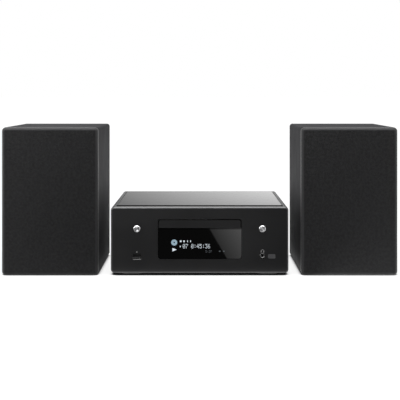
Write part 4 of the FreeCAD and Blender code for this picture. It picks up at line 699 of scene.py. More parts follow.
def circuit_board(name, axis, surface, outward):
    """Lacquered board whose parts start at a height along an axis."""
    tree, shader, place = start_material(name, {"IOR": 1.52, "Coat Weight": 0.3})
    tracks = add_node(tree, "ShaderNodeTexBrick", {
        "Scale": 1 / TRACK_SPACING, "Mortar Size": 0.02, "Vector": place.outputs["Object"],
        "Color1": hex_colour("#0d3a22"), "Color2": hex_colour("#12492b"),
        "Mortar": hex_colour("#2d7d4c"),
    })
    apart = add_node(tree, "ShaderNodeSeparateXYZ", {"Vector": place.outputs["Object"]})
    step = add_node(tree, "ShaderNodeMath", {
        "operation": "GREATER_THAN", 0: apart.outputs[axis], 1: surface,
    }).outputs["Value"]
    if outward < 0:
        step = add_node(tree, "ShaderNodeMath", {
            "operation": "SUBTRACT", 0: 1.0, 1: step,
        }).outputs["Value"]
    coloured = add_node(tree, "ShaderNodeMix", {
        "data_type": "RGBA", 0: step, 6: tracks.outputs["Color"], 7: hex_colour("#1b1b1d"),
    }).outputs[2]
    tree.links.new(coloured, shader.inputs["Base Color"])
    gloss = add_node(tree, "ShaderNodeMapRange", {"Value": step, "To Min": 0.3, "To Max": 0.5})
    tree.links.new(gloss.outputs["Result"], shader.inputs["Roughness"])
    return bpy.data.materials[name]


board_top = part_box("main_board")[0].z + LAMINATE
display_board_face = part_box("display_board")[1].y - LAMINATE
lying_board = circuit_board("lying_board", "Z", board_top, 1)
standing_board = circuit_board("standing_board", "Y", display_board_face, -1)
print("boards end at", round(board_top / MM, 1), "and", round(display_board_face / MM, 1))

# %% [markdown]
# The display glows. A lit dot has an even colour and its own light. A little unevenness
# from dot to dot keeps it from looking like a printed label.

# %% Lit dots


def lit(name, colour, strength):
    """Even glow with a slight change from dot to dot."""
    tree, shader, place = start_material(name, {"Roughness": 0.4, "Base Color": hex_colour("#050505")})
    uneven = add_node(tree, "ShaderNodeTexNoise", {
        "Scale": 1 / (2.5 * MM), "Vector": place.outputs["Object"],
    })
    level = add_node(tree, "ShaderNodeMapRange", {
        "Value": uneven.outputs["Fac"], "To Min": strength * 0.8, "To Max": strength * 1.2,
    })
    shader.inputs["Emission Color"].default_value = hex_colour(colour)
    tree.links.new(level.outputs["Result"], shader.inputs["Emission Strength"])
    return bpy.data.materials[name]


lit_white = lit("lit_white", "#dfe8f0", 0.95)
lit_dim = lit("lit_dim", "#b8c4cc", 0.18)
lit_blue = lit("lit_blue", "#a9c6d6", 0.7)

# %% [markdown]
# ## Finishes on the solids
#
# Each solid keeps its shape and its mesh, and only gets the finish of its piece. Where
# an edge is rounded and catches the light, the rounding is part of the solid.

# %% Dress the solids


def dress(finish, *names):
    """Gives solids a finish. A name without a side stands for the pair."""
    for name in names:
        for solid in (solids[key] for key in (name, f"{name}_left", f"{name}_right") if key in solids):
            for index in range(len(solid.data.materials)):
                solid.data.materials[index] = finish


dress(front_lacquer, "front_panel")
dress(satin_lacquer, "tray_front")
dress(powder_coat, "top_cover", "rear_panel", "woofer_basket")
dress(gloss_acrylic, "top_plate")
dress(smoked_acrylic, "display_window")
dress(turned_keys, "power_button", "eject_button")
dress(nickel_plate, "signal_sockets")
dress(zinc_plate, "chassis_pan", "case_screws")
dress(drawn_aluminium, "heatsink", "pickup_sled")
dress(moulded_black, "usb_socket", "headphone_jack", "mains_inlet", "phono_sockets", "terminal_block")
dress(moulded_black, "disc_tray", "loader_frame", "grille_frame", "tweeter", "port_tube", "terminal_cup")
dress(acetal_grey, "tray_gear", "clamper", "traverse_frame", "turntable")
dress(black_rubber, "feet", "woofer_suspension")
dress(lying_board, "main_board", "power_supply")
dress(standing_board, "display_board")
dress(gloss_black, "terminal_cap_1", "terminal_cap_4", "terminal_cap_black")
dress(gloss_red, "terminal_cap_2", "terminal_cap_3", "terminal_cap_red")
dress(ash_foil, "cabinet")
dress(painted_board, "front_baffle")
dress(polyester_weave, "grille_cloth")
dress(coated_pulp, "woofer_cone")
dress(doped_silk, "tweeter_dome")
dress(sintered_ferrite, "woofer_magnet")
print(len(bpy.data.materials), "materials on", len(solids), "solids")

# %% [markdown]
# ## New pieces
#
# What follows is modelled here. Small helpers add a block or an earlier mesh to a shape
# that is being built, and round its edges. One more turns the finished shape into a
# piece of the object that moves with one of its bodies.

# %% Shape helpers


def add_block(shape, low, high):
    """Rectangular block between two corners."""
    low, high = Vector(low), Vector(high)
    place = Matrix.Translation((low + high) / 2) @ Matrix.Diagonal((*(high - low), 1))
    return bmesh.ops.create_cube(shape, size=1.0, matrix=place)["verts"]


def facing(middle, direction):
    """Place at a point, with the third axis turned to a direction."""
    return Matrix.Translation(middle) @ Vector(direction).to_track_quat("Z", "Y").to_matrix().to_4x4()


def middle_of(node):
    """Middle of a solid's box."""
    low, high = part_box(node)
    return (low + high) / 2


def round_off(shape, geom, radius, segments, affect="EDGES"):
    """Rounds edges, or the corners of a flat shape."""
    bmesh.ops.bevel(
        shape, geom=geom, offset=radius, affect=affect, segments=segments, profile=0.5, material=-1
    )


def add_mesh(shape, mesh, place):
    """Copy of an earlier mesh, placed by a matrix."""
    before = len(shape.verts)
    shape.from_mesh(mesh)
    shape.verts.ensure_lookup_table()
    bmesh.ops.transform(shape, matrix=place, verts=shape.verts[before:])


def new_piece(name, shape, finish, body, smooth_below=35):
    """Turns a shape into a piece that rides on a body."""
    mesh = bpy.data.meshes.new(name)
    shape.to_mesh(mesh)
    shape.free()
    mesh.materials.append(finish)
    mesh.shade_smooth()
    mesh.set_sharp_from_angle(angle=math.radians(smooth_below))
    piece = bpy.data.objects.new(name, mesh)
    scene.collection.objects.link(piece)
    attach(piece, body)
    print(name, len(mesh.polygons), "faces")
    return piece


# %% [markdown]
# ### Grille cloth
#
# One piece of cloth is drawn over each grille frame and glued behind it. A block with
# its back taken off and its edges rounded gives the drawn shape, and a flat pattern for
# the weave is found by folding the sides out: a point's distance behind the front is
# added in the direction that its side faces.

# %% Grille cloth
CLOTH_THICKNESS = 0.8 * MM
CORNER_RADIUS = 6.0 * MM
RIM_RADIUS = 5.5 * MM


def cloth_over(name):
    """Drawn cloth with the outline of a solid."""
    low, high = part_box(name)
    shape = bmesh.new()
    add_block(shape, low, high)
    back = [face for face in shape.faces if face.normal.y > 0.5]
    bmesh.ops.delete(shape, geom=back, context="FACES_ONLY")
    uprights = [edge for edge in shape.edges if abs((edge.verts[0].co - edge.verts[1].co).y) > MM]
    round_off(shape, uprights, CORNER_RADIUS, 6)
    rim = [edge for edge in shape.edges if all(abs(vert.co.y - low.y) < 0.1 * MM for vert in edge.verts)]
    round_off(shape, rim, RIM_RADIUS, 6)
    shape.normal_update()
    flat = shape.loops.layers.uv.new("flat")
    for face in shape.faces:
        for loop in face.loops:
            spot, side = loop.vert.co, loop.vert.normal
            behind = spot.y - low.y
            loop[flat].uv = (spot.x + side.x * behind, spot.z + side.z * behind)
    return shape


for side in SIDES:
    solid_name = f"grille_cloth_{side}"
    cloth = new_piece(
        f"drawn_cloth_{side}", cloth_over(solid_name), polyester_weave, f"grille_{side}",
        smooth_below=80,
    )
    wall = cloth.modifiers.new("cloth_thickness", "SOLIDIFY")
    wall.thickness, wall.offset = CLOTH_THICKNESS, -1.0
    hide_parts(solid_name)
    low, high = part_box(solid_name)

# %% [markdown]
# ### Turned shapes
#
# Barrels, rings, screws and the woofer's rubber are turned shapes: one outline is spun
# round an axis. The outline is given as distances from the axis and heights along it.
# The mesh is merged after the full turn, so it closes.

# %% Turned shapes


def add_turned(shape, outline, place, segments=32, closed=True):
    """Spins an outline of (radius, height) pairs in millimetres round a placed axis."""
    corners = [shape.verts.new((radius * MM, 0, height * MM)) for radius, height in outline]
    following = corners[1:] + corners[:1] if closed else corners[1:]
    sides = [shape.edges.new(pair) for pair in zip(corners, following)]
    spun = bmesh.ops.spin(
        shape, geom=corners + sides, cent=(0, 0, 0), axis=(0, 0, 1), angle=math.tau,
        steps=segments, use_merge=True,
    )
    verts = {vert for side in sides if side.is_valid for vert in side.verts}
    verts |= {
        part for part in spun["geom_last"] if isinstance(part, bmesh.types.BMVert) and part.is_valid
    }
    reached = set(verts)
    while verts:
        vert = verts.pop()
        near = {edge.other_vert(vert) for edge in vert.link_edges} - reached
        reached |= near
        verts |= near
    bmesh.ops.remove_doubles(shape, verts=list(reached), dist=1e-6)
    whole = [vert for vert in reached if vert.is_valid]
    faces = list({face for vert in whole for face in vert.link_faces})
    bmesh.ops.recalc_face_normals(shape, faces=faces)
    bmesh.ops.transform(shape, matrix=place, verts=whole)
    return whole


# %% [markdown]
# ### Screws
#
# Every screw head here is a low pan with a cross recess. The top starts as a grid of
# nine squares whose middle rows are as wide as the cross: the five squares of the cross
# are pushed in, and a ring of twelve corners is bridged to the grid's rim.

# %% Screw head
HEAD_RADIUS = 3.0
HEAD_HEIGHT = 1.4
CROSS_REACH, CROSS_ARM = 0.55, 0.14  # as shares of the radius
CROSS_DEPTH = 0.6  # as a share of the height


def cross_head():
    """Mesh of a pan head of its real size, its seat at the origin, facing the third axis."""
    shape = bmesh.new()
    reach, arm = CROSS_REACH * HEAD_RADIUS * MM, CROSS_ARM * HEAD_RADIUS * MM
    top = HEAD_HEIGHT * MM
    bmesh.ops.create_grid(shape, x_segments=3, y_segments=3, size=1)
    for vert in shape.verts:
        for axis in (0, 1):
            vert.co[axis] = math.copysign(reach if abs(vert.co[axis]) > 0.5 else arm, vert.co[axis])
        vert.co.z = top
    cross = [
        face for face in shape.faces if min(abs(part) for part in face.calc_center_median().xy) < arm / 2
    ]
    border = [edge for edge in shape.edges if edge.is_boundary]
    for radius, height in ((0.86, HEAD_HEIGHT), (1.0, 0.72 * HEAD_HEIGHT), (1.0, 0.0)):
        ring = bmesh.ops.create_circle(
            shape, segments=12, radius=radius * HEAD_RADIUS * MM,
            matrix=Matrix.Translation((0, 0, height * MM)) @ Matrix.Rotation(math.radians(15), 4, "Z"),
        )["verts"]
        circle = list({edge for vert in ring for edge in vert.link_edges})
        bmesh.ops.bridge_loops(shape, edges=border + circle)
        border = circle
    bmesh.ops.edgeloop_fill(shape, edges=border)
    sunk = bmesh.ops.extrude_face_region(shape, geom=cross)["geom"]
    bmesh.ops.delete(shape, geom=[face for face in cross if face.is_valid], context="FACES_ONLY")
    floor_verts = [part for part in sunk if isinstance(part, bmesh.types.BMVert)]
    bmesh.ops.translate(shape, verts=floor_verts, vec=(0, 0, -CROSS_DEPTH * top))
    bmesh.ops.recalc_face_normals(shape, faces=shape.faces)
    mesh = bpy.data.meshes.new("cross_head")
    shape.to_mesh(mesh)
    shape.free()
    print("screw head", len(mesh.polygons), "faces")
    return mesh


CROSS_HEAD = cross_head()


def add_screws(shape, seats, direction, radius, height):
    """Screw heads of a size in millimetres at their seats, each turned a little differently."""
    for number, seat in enumerate(seats):
        turn = Matrix.Rotation(math.radians(37 * number % 90), 4, "Z")
        size = Matrix.Diagonal((radius / HEAD_RADIUS, radius / HEAD_RADIUS, height / HEAD_HEIGHT, 1))
        add_mesh(shape, CROSS_HEAD, facing(seat, direction) @ turn @ size)


# %% [markdown]
# The four screws that hold the cover are solids already, as plain round heads. Heads
# with a recess stand in the same places and replace them.

# %% Cover screws
low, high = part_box("case_screws")
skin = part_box("top_cover")[1].x
shape = bmesh.new()
for way in (-1, 1):
    seats = [
        Vector((way * skin, back, middle_of("case_screws").z))
        for back in (low.y + HEAD_RADIUS * MM, high.y - HEAD_RADIUS * MM)
    ]
    add_screws(shape, seats, (way, 0, 0), HEAD_RADIUS, (high.x - skin) / MM)
cover_screws = new_piece("cover_screws", shape, zinc_plate, "receiver")
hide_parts("case_screws")

# %% [markdown]
# ### Display
#
# The display behind the smoked window lights rows of small dots. It shows a running
# time in plain figures. Each figure is five dots wide and seven high, written below as
# rows of ones and noughts from the top down. A dot is a thin block that stands a hair
# proud of the window: the real one shines through the acrylic, which is opaque here.

# %% Figures
FIGURES = {
    "0": "01110 10001 10011 10101 11001 10001 01110",
    "1": "00100 01100 00100 00100 00100 00100 01110",
    "2": "01110 10001 00001 00010 00100 01000 11111",
    "3": "11111 00010 00100 00010 00001 10001 01110",
    "4": "00010 00110 01010 10010 11111 00010 00010",
    "5": "11111 10000 11110 00001 00001 10001 01110",
    "6": "00110 01000 10000 11110 10001 10001 01110",
    "7": "11111 00001 00010 00100 01000 01000 01000",
    ":": "00000 00100 00100 00000 00100 00100 00000",
    " ": "00000 00000 00000 00000 00000 00000 00000",
}
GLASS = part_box("display_window")[0].y
PROUD = 0.03 * MM


def add_plate(shape, across, up, width, height, face=GLASS, proud=PROUD):
    """Thin block on a front face, its middle and size in millimetres."""
    low = (across * MM - width * MM / 2, face - proud, up * MM - height * MM / 2)
    high = (across * MM + width * MM / 2, face + 0.1 * MM, up * MM + height * MM / 2)
    return add_block(shape, low, high)


def add_figures(shape, text, left, low, dot_width, dot_height):
    """Figures with their lower left corner at a place. A dot keeps a small gap to the next."""
    for number, character in enumerate(text):
        rows = FIGURES[character].split()
        for row, cells in enumerate(reversed(rows)):
            for column, cell in enumerate(cells):
                if cell == "1":
                    across = left + (6 * number + column + 0.5) * dot_width
                    up = low + (row + 0.5) * dot_height
                    add_plate(shape, across, up, 0.86 * dot_width, 0.86 * dot_height)


shape = bmesh.new()
add_figures(shape, "07 0:45:36", left=-26.5, low=42.6, dot_width=0.727, dot_height=1.0)
new_piece("running_time", shape, lit_white, "receiver")

# %% Small figures and marks
LOW_MARKS = (31.6, 38.1)
TOP_MARKS = ((-29.8, 2.6), (-24.6, 2.2), (-19.1, 1.2), (-14.4, 1.2))
shape = bmesh.new()
add_figures(shape, "5:27", left=9.2, low=36.0, dot_width=0.44, dot_height=0.5)
for across in LOW_MARKS:
    add_plate(shape, across, up=38.1, width=2.2, height=1.6)
new_piece("small_figures", shape, lit_dim, "receiver")
shape = bmesh.new()
for across, width in TOP_MARKS:
    add_plate(shape, across, up=53.8, width=width, height=2.6)
add_plate(shape, across=-30.5, up=45.6, width=1.4, height=2.2)
new_piece("status_marks", shape, lit_white, "receiver")

# %% [markdown]
# Left of the figures are two signs: a disc, which is a flat ring spun round its middle,
# and a triangle for play, which is a round bar with three sides, turned and stretched.

# %% Disc sign and play sign
DISC_SIGN, PLAY_SIGN = (-40.06, 51.8), (-40.6, 40.6)
HOLE_RADIUS, DISC_RADIUS = 1.1, 4.75
PLAY_RADIUS, PLAY_SHAPE = 3.6, (0.88, 1.25, 1, 1)
shape = bmesh.new()
add_turned(
    shape, [(HOLE_RADIUS, -0.1), (HOLE_RADIUS, 0.03), (DISC_RADIUS, 0.03), (DISC_RADIUS, -0.1)],
    facing((DISC_SIGN[0] * MM, GLASS, DISC_SIGN[1] * MM), (0, -1, 0)), 40,
)
new_piece("disc_sign", shape, lit_blue, "receiver")
shape = bmesh.new()
bmesh.ops.create_cone(
    shape, cap_ends=True, segments=3, radius1=PLAY_RADIUS * MM, radius2=PLAY_RADIUS * MM,
    depth=0.13 * MM,
    matrix=facing((PLAY_SIGN[0] * MM, GLASS + 0.035 * MM, PLAY_SIGN[1] * MM), (0, -1, 0))
    @ Matrix.Rotation(math.radians(-90), 4, "Z") @ Matrix.Diagonal(PLAY_SHAPE),
)
new_piece("play_sign", shape, lit_white, "receiver")

# %% [markdown]
# ### Dark joints
#
# Joints between fitted pieces read as dark lines. A rubber lip closes the one between
# the gloss plate and the front panel and stands a little above both: a block whose two
# upper edges are rounded.

# %% Plate lip
LIP_HEIGHT, LIP_DEPTH = 1.4 * MM, 1.0 * MM
low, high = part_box("top_plate")
shape = bmesh.new()
add_block(shape, (low.x, low.y, high.z - 0.2 * MM), (high.x, low.y + LIP_DEPTH, high.z + LIP_HEIGHT))
upper = [edge for edge in shape.edges if all(vert.co.z > high.z for vert in edge.verts)]
round_off(shape, upper, 0.12 * MM, 2)
new_piece("plate_lip", shape, soft_black, "receiver")

# %% [markdown]
# A strip of black foam sits behind the slot under the tray front. It is painted shade: a
# dark piece set there so that the slot stays as dark as a deep gap. It lies along the top
# of the window, behind its face, and clears the tray.

# %% Black strip behind the tray joint, a painted shade
STRIP_DEPTH, STRIP_CLEARANCE = 1.6 * MM, 0.3 * MM
glass_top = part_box("display_window")[1].z
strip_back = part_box("display_window")[1].y - 0.1 * MM
strip_top = min(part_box("tray_front")[0].z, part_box("disc_tray")[0].z) - STRIP_CLEARANCE
low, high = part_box("tray_front")
shape = bmesh.new()
add_block(shape, (low.x, strip_back - STRIP_DEPTH, glass_top), (high.x, strip_back, strip_top))
# A black strip in the slot: painted shade that keeps the joint dark.
new_piece("joint_shade_strip", shape, soft_black, "receiver")
print("felt from", round(glass_top / MM, 1), "to", round(strip_top / MM, 1))

# %% [markdown]
# The tray front has a band of gloss black along its rim. It is made from one square that
# is scaled, rounded at its upper corners, inset and given a thickness, and it moves with
# the tray.

# %% Tray front band
BAND_WIDTH = 0.8 * MM
TRAY_CORNER = 3.9 * MM
BAND_PROUD, BAND_THICKNESS = 0.04 * MM, 0.5 * MM
low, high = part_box("tray_front")
middle = middle_of("tray_front")
shape = bmesh.new()
bmesh.ops.create_grid(
    shape, x_segments=1, y_segments=1, size=0.5,
    matrix=facing((middle.x, low.y - BAND_PROUD, middle.z), (0, -1, 0))
    @ Matrix.Diagonal((high.x - low.x, high.z - low.z, 1, 1)),
)
round_off(shape, [vert for vert in shape.verts if vert.co.z > middle.z], TRAY_CORNER, 6, "VERTICES")
inner = list(shape.faces)
bmesh.ops.inset_region(
    shape, faces=inner, thickness=BAND_WIDTH, use_boundary=True, use_even_offset=True
)
bmesh.ops.delete(shape, geom=inner, context="FACES")
bmesh.ops.solidify(shape, geom=shape.faces[:], thickness=-BAND_THICKNESS)
bmesh.ops.recalc_face_normals(shape, faces=shape.faces)
new_piece("tray_band", shape, smoked_acrylic, "tray")

# %% [markdown]
# ### Small things on the front
#
# The remote control's receiver sits behind a small rounded window of dark plastic at
# the lower right.

# %% Sensor window
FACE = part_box("front_panel")[0].y
shape = bmesh.new()
add_plate(shape, across=113.4, up=30.2, width=11.8, height=7.0, face=FACE, proud=0.12 * MM)
uprights = [edge for edge in shape.edges if abs((edge.verts[0].co - edge.verts[1].co).y) > 0.1 * MM]
round_off(shape, uprights, 1.8 * MM, 5)
new_piece("sensor_window", shape, sensor_plastic, "receiver")

# %% [markdown]
# Signs are printed in grey. Over the headphone socket is a headphone: the upper half of
# a flat ring, cut along its middle and closed there, and two ear pads. The USB socket,
# as far to the left of the middle, has a dot above it and a line below.

# %% Printed signs
BUTTON_ACROSS = middle_of("eject_button").x / MM
SIGN_UP = 38.4
BAND_INNER, BAND_OUTER = 2.0, 2.5
EAR_OUT = 2.1
shape = bmesh.new()
add_turned(
    shape, [(BAND_INNER, -0.05), (BAND_INNER, 0.03), (BAND_OUTER, 0.03), (BAND_OUTER, -0.05)],
    facing((BUTTON_ACROSS * MM, FACE, SIGN_UP * MM), (0, -1, 0)), 32,
)
cut = bmesh.ops.bisect_plane(
    shape, geom=shape.verts[:] + shape.edges[:] + shape.faces[:], plane_co=(0, 0, SIGN_UP * MM),
    plane_no=(0, 0, -1), clear_outer=True,
)["geom_cut"]
bmesh.ops.edgeloop_fill(shape, edges=[part for part in cut if isinstance(part, bmesh.types.BMEdge)])
for way in (-1, 1):
    add_plate(shape, BUTTON_ACROSS + way * EAR_OUT, SIGN_UP - 1.1, width=1.1, height=2.2, face=FACE)
add_plate(shape, -BUTTON_ACROSS, up=37.0, width=1.6, height=1.6, face=FACE)
add_plate(shape, -BUTTON_ACROSS, up=25.3, width=12.6, height=0.7, face=FACE)
new_piece("front_signs", shape, print_ink, "receiver")

# %% [markdown]
# The USB socket has a plastic tongue set back in it, with four gilt contacts on its
# underside. A gloss lip along its lower edge and a gloss ring in the mouth of the
# headphone socket finish the openings in the panel.

# %% Inside the USB socket
CONTACTS = (-3.5, -1.0, 1.0, 3.5)
low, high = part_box("usb_socket")
middle = (low + high) / 2
shape = bmesh.new()
add_block(
    shape, (low.x + 2.0 * MM, low.y + 4.5 * MM, middle.z + 0.1 * MM),
    (high.x - 2.0 * MM, high.y - 1.2 * MM, middle.z + 1.6 * MM),
)
new_piece("usb_tongue", shape, moulded_black, "receiver")
shape = bmesh.new()
for step in CONTACTS:
    add_block(
        shape, (middle.x + (step - 0.5) * MM, low.y + 5.4 * MM, middle.z - 0.05 * MM),
        (middle.x + (step + 0.5) * MM, high.y - 1.3 * MM, middle.z + 0.12 * MM),
    )
new_piece("usb_contacts", shape, gilt_brass, "receiver")

# %% Lip and ring
LIP_RISE, LIP_THICKNESS, LIP_PROUD = 0.75 * MM, 0.9 * MM, 0.25 * MM
lip_top = low.z + LIP_RISE
shape = bmesh.new()
add_block(
    shape, (low.x + 0.1 * MM, low.y - LIP_PROUD, lip_top - LIP_THICKNESS),
    (high.x - 0.1 * MM, low.y + 0.8 * MM, lip_top),
)
front_top = [edge for edge in shape.edges if all(
    vert.co.y < low.y and vert.co.z > lip_top - 0.1 * MM for vert in edge.verts
)]
round_off(shape, front_top, 0.7 * MM, 2)
new_piece("usb_lip", shape, gloss_black, "receiver")
jack_low, jack_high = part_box("headphone_jack")
jack_middle = middle_of("headphone_jack")
jack_radius = (jack_high.x - jack_low.x) / 2 / MM
shape = bmesh.new()
add_turned(
    shape,
    [(2.3, -0.2), (2.3, 0.0), (3.1, 0.7), (jack_radius - 0.4, 0.7), (jack_radius - 0.1, 0.4),
     (jack_radius - 0.1, -0.2)],
    facing((jack_middle.x, jack_low.y, jack_middle.z), (0, -1, 0)),
)
new_piece("jack_ring", shape, gloss_black, "receiver")

# %% [markdown]
# ### Sockets on the rear
#
# The phono sockets are moulded black, and on each barrel sits a nickel sleeve that
# touches the plug's collar. The ring of plastic round the bore is white for the left
# channel and red for the right. The terminal posts end in gilt rings, and a network
# socket shows its eight gilt springs.

# %% Phono barrels
BARREL_RADIUS = 4.15
PHONO_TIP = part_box("phono_sockets")[1].y
inner = BARREL_RADIUS + 0.01
sleeve = [(inner, -7.6), (4.4, -7.6), (4.4, -0.1), (4.25, 0.12), (3.1, 0.12), (3.1, 0.01), (inner, 0.01)]
core = [(1.62, 0.01), (3.08, 0.01), (3.08, 0.08), (1.62, 0.08)]
phono_places = [Vector(mounts[f"phono_core_{number}"]["pos_m"]) for number in range(1, 5)]
upper = max(place.z for place in phono_places)
shape, whites, reds = bmesh.new(), bmesh.new(), bmesh.new()
for place in phono_places:
    tip = facing((place.x, PHONO_TIP, place.z), (0, 1, 0))
    add_turned(shape, sleeve, tip)
    add_turned(whites if abs(place.z - upper) < MM else reds, core, tip)
new_piece("phono_sleeves", shape, nickel_plate, "receiver")
new_piece("phono_cores_left", whites, gloss_white, "receiver")
new_piece("phono_cores_right", reds, gloss_red, "receiver")

# %% Post tips
POST_RADIUS, POST_BORE = 2.9, 2.0
tip_inner, tip_outer = POST_BORE + 0.02, POST_RADIUS - 0.2
tip_ring = [(tip_inner, 0.01), (tip_outer, 0.01), (tip_outer, 0.1), (tip_inner, 0.1)]
shape = bmesh.new()
for number in range(1, 5):
    place = mounts[f"speaker_output_{number}"]["pos_m"]
    add_turned(shape, tip_ring, facing((place[0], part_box("terminal_block")[1].y, place[2]), (0, 1, 0)))

# %% Network springs
SPRINGS, SPRING_PITCH, SPRING_WIDTH = 8, 1.02 * MM, 0.5 * MM
SPRING_LOW, SPRING_HIGH = 36.4 * MM, 37.4 * MM
SPRING_START, SPRING_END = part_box("signal_sockets")[1].y - 20 * MM, 137.2 * MM
for number in range(SPRINGS):
    across = (number - (SPRINGS - 1) / 2) * SPRING_PITCH
    add_block(
        shape, (across - SPRING_WIDTH / 2, SPRING_START, SPRING_LOW),
        (across + SPRING_WIDTH / 2, SPRING_END, SPRING_HIGH),
    )
new_piece("rear_contacts", shape, gilt_brass, "receiver")

# %% Loudspeaker post tips
for side in SIDES:
    shape = bmesh.new()
    for colour in ("black", "red"):
        place = mounts[f"speaker_input_{colour}_{side}"]["pos_m"]
        post_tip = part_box(f"terminal_cap_{colour}_{side}")[1].y - 1.5 * MM
        add_turned(shape, tip_ring, facing((place[0], post_tip, place[2]), (0, 1, 0)))
    new_piece(f"post_tips_{side}", shape, gilt_brass, f"speaker_{side}")

# %% [markdown]
# ### Rear panel prints and screws
#
# The rear panel is held by small screws round its rim. Thin printed frames group the
# sockets, and plain figures and signs tell the terminals apart.

# %% Rear screws
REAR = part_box("rear_panel")[1].y
RIM_SEATS = ((-131, 97), (-60, 98), (60, 98), (131, 97), (-131, 12), (-75, 12), (75, 12), (131, 12))
BLOCK_FACE, PHONO_FACE = 138.9 * MM, 137.5 * MM  # plates that carry the posts and barrels
BLOCK_EDGE = 4.2 * MM
shape = bmesh.new()
add_screws(shape, [Vector((x * MM, REAR, z * MM)) for x, z in RIM_SEATS], (0, 1, 0), 2.6, 1.1)
block_low, block_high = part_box("terminal_block")
block_seats = [
    Vector((x, BLOCK_FACE, middle_of("terminal_block").z))
    for x in (block_low.x + BLOCK_EDGE, block_high.x - BLOCK_EDGE)
]
add_screws(shape, block_seats, (0, 1, 0), 2.2, 0.9)
phono_middle = sum(phono_places, Vector()) / 4
add_screws(shape, [Vector((phono_middle.x, PHONO_FACE, phono_middle.z))], (0, 1, 0), 2.2, 0.9)
new_piece("rear_screws", shape, zinc_plate, "receiver")

# %% Rear prints
INK_PROUD = 0.04 * MM


def add_line(shape, left, right, low, high):
    """Printed bar on the rear panel between limits in millimetres."""
    add_block(shape, (left * MM, REAR - 0.05 * MM, low * MM), (right * MM, REAR + INK_PROUD, high * MM))


def add_frame(shape, left, right, low, high, width=0.35):
    """Printed frame with its corners left open, as a stencil leaves them."""
    add_line(shape, left + width, right - width, high - width, high)
    add_line(shape, left + width, right - width, low, low + width)
    add_line(shape, left, left + width, low + width, high - width)
    add_line(shape, right - width, right, low + width, high - width)


def add_print(shape, text, across, up, height):
    """Generic figure or sign, readable from behind."""
    letters = bpy.data.curves.new("print", "FONT")
    letters.body, letters.size = text, height * MM
    letters.align_x, letters.align_y = "CENTER", "CENTER"
    letters.extrude = INK_PROUD
    carrier = bpy.data.objects.new("print", letters)
    mesh = bpy.data.meshes.new_from_object(carrier)
    place = Matrix.Translation((across * MM, REAR, up * MM))
    add_mesh(shape, mesh, place @ Matrix(((-1, 0, 0, 0), (0, 0, 1, 0), (0, 1, 0, 0), (0, 0, 0, 1))))
    bpy.data.objects.remove(carrier)
    bpy.data.meshes.remove(mesh)


TERMINAL_FRAME, PHONO_FRAME = (44.0, 128.0, 46.5, 80.5), (-55.0, -21.0, 17.5, 52.5)
RED_POSTS = (2, 3)
shape = bmesh.new()
add_frame(shape, *TERMINAL_FRAME)
add_frame(shape, *PHONO_FRAME)
for number in range(1, 5):
    place = mounts[f"speaker_output_{number}"]["pos_m"]
    add_print(shape, "+" if number in RED_POSTS else "–", place[0] / MM, up=77.4, height=5.0)
for number, up in ((1, phono_places[1].z / MM), (2, phono_places[0].z / MM)):
    add_print(shape, str(number), across=-56.9, up=up, height=4.4)
for number, across in ((1, 22.5), (2, 33.5)):
    add_print(shape, str(number), across, up=44.6, height=4.4)
bmesh.ops.remove_doubles(shape, verts=shape.verts, dist=1e-7)
new_piece("rear_prints", shape, print_ink, "receiver")
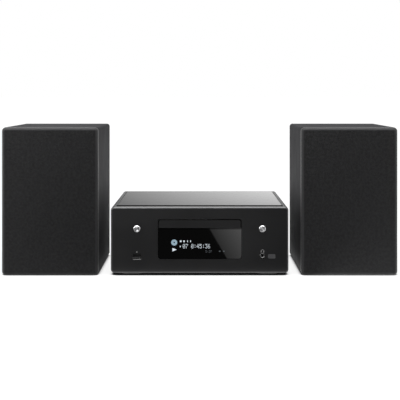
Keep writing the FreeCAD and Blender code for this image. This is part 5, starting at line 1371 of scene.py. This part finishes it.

# %% [markdown]
# ### Woofer surround
#
# A rubber half roll joins the cone to the basket and bends as the cone moves. The solid
# is a plain form of it. Here the roll is a thin sheet with its flange and landing. The
# centring disc deep in the basket is corrugated cloth.

# %% Surround and centring disc
CONE_EDGE = 42.0
ROLL_INNER, ROLL_OUTER = 42.6, 49.7
FLANGE_EDGE = 52.7
SEAT = 1.2
RUBBER = 0.5 * MM
DISC_INNER, DISC_WIDTH, DISC_BACK = 13.6, 22.0, -33.4
WAVE_HEIGHT, DISC_THICKNESS = 0.9, 0.4
roll_middle, bulge = (ROLL_OUTER + ROLL_INNER) / 2, (ROLL_OUTER - ROLL_INNER) / 2
arch = [
    (roll_middle + bulge * math.cos(turn), bulge * math.sin(turn) - SEAT)
    for turn in (math.pi * step / 14 for step in range(15))
]
roll = [(FLANGE_EDGE, -SEAT), *arch, (ROLL_INNER - 0.2, -1.55), (CONE_EDGE - 2.4, -1.7)]
waves = [
    (DISC_INNER + DISC_WIDTH * step / 24, DISC_BACK + WAVE_HEIGHT * math.sin(step * math.pi / 2))
    for step in range(25)
]
waves_behind = [(radius, height - DISC_THICKNESS) for radius, height in reversed(waves)]
for side in SIDES:
    cone = middle_of(f"woofer_cone_{side}")
    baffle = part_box(f"front_baffle_{side}")[0].y
    axle = facing((cone.x, baffle, cone.z), (0, -1, 0))
    shape = bmesh.new()
    add_turned(shape, roll, axle, 96, closed=False)
    surround = new_piece(
        f"rubber_surround_{side}", shape, black_rubber, f"speaker_{side}"
    )
    surround.parent = None
    skin_wall = surround.modifiers.new("rubber", "SOLIDIFY")
    skin_wall.thickness, skin_wall.offset = RUBBER, 0.0
    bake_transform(surround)
    shape = bmesh.new()
    add_turned(shape, waves + waves_behind, axle, 64)
    new_piece(
        f"centring_disc_{side}", shape, doped_silk, f"speaker_{side}", smooth_below=60
    )
    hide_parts(f"woofer_suspension_{side}")

# %% [markdown]
# ### Driver screws
#
# Four screws hold the woofer, three the tweeter and four the cup with the terminals.
# They are black, as on most loudspeakers, and sit on a circle round each driver and at
# the cup's corners.

# %% Driver and cup screws
WOOFER_CIRCLE, TWEETER_CIRCLE = 56 * MM, 28.5 * MM
CUP_EDGE = 2.9 * MM
for side in SIDES:
    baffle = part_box(f"front_baffle_{side}")[0].y
    seats = []
    for driver, circle, first, count in (
        ("woofer_basket", WOOFER_CIRCLE, 45, 4), ("tweeter", TWEETER_CIRCLE, 90, 3),
    ):
        hub = middle_of(f"{driver}_{side}")
        for step in range(count):
            turn = math.radians(first + 360 / count * step)
            spot = (hub.x + circle * math.cos(turn), baffle, hub.z + circle * math.sin(turn))
            seats.append(Vector(spot))
    shape = bmesh.new()
    add_screws(shape, seats, (0, -1, 0), 2.6, 0.9)
    low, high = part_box(f"terminal_cup_{side}")
    corner_seats = [
        Vector((x, high.y, z))
        for x in (low.x + CUP_EDGE, high.x - CUP_EDGE) for z in (low.z + CUP_EDGE, high.z - CUP_EDGE)
    ]
    add_screws(shape, corner_seats, (0, 1, 0), 2.0, 0.7)
    new_piece(f"driver_screws_{side}", shape, gloss_black, f"speaker_{side}")
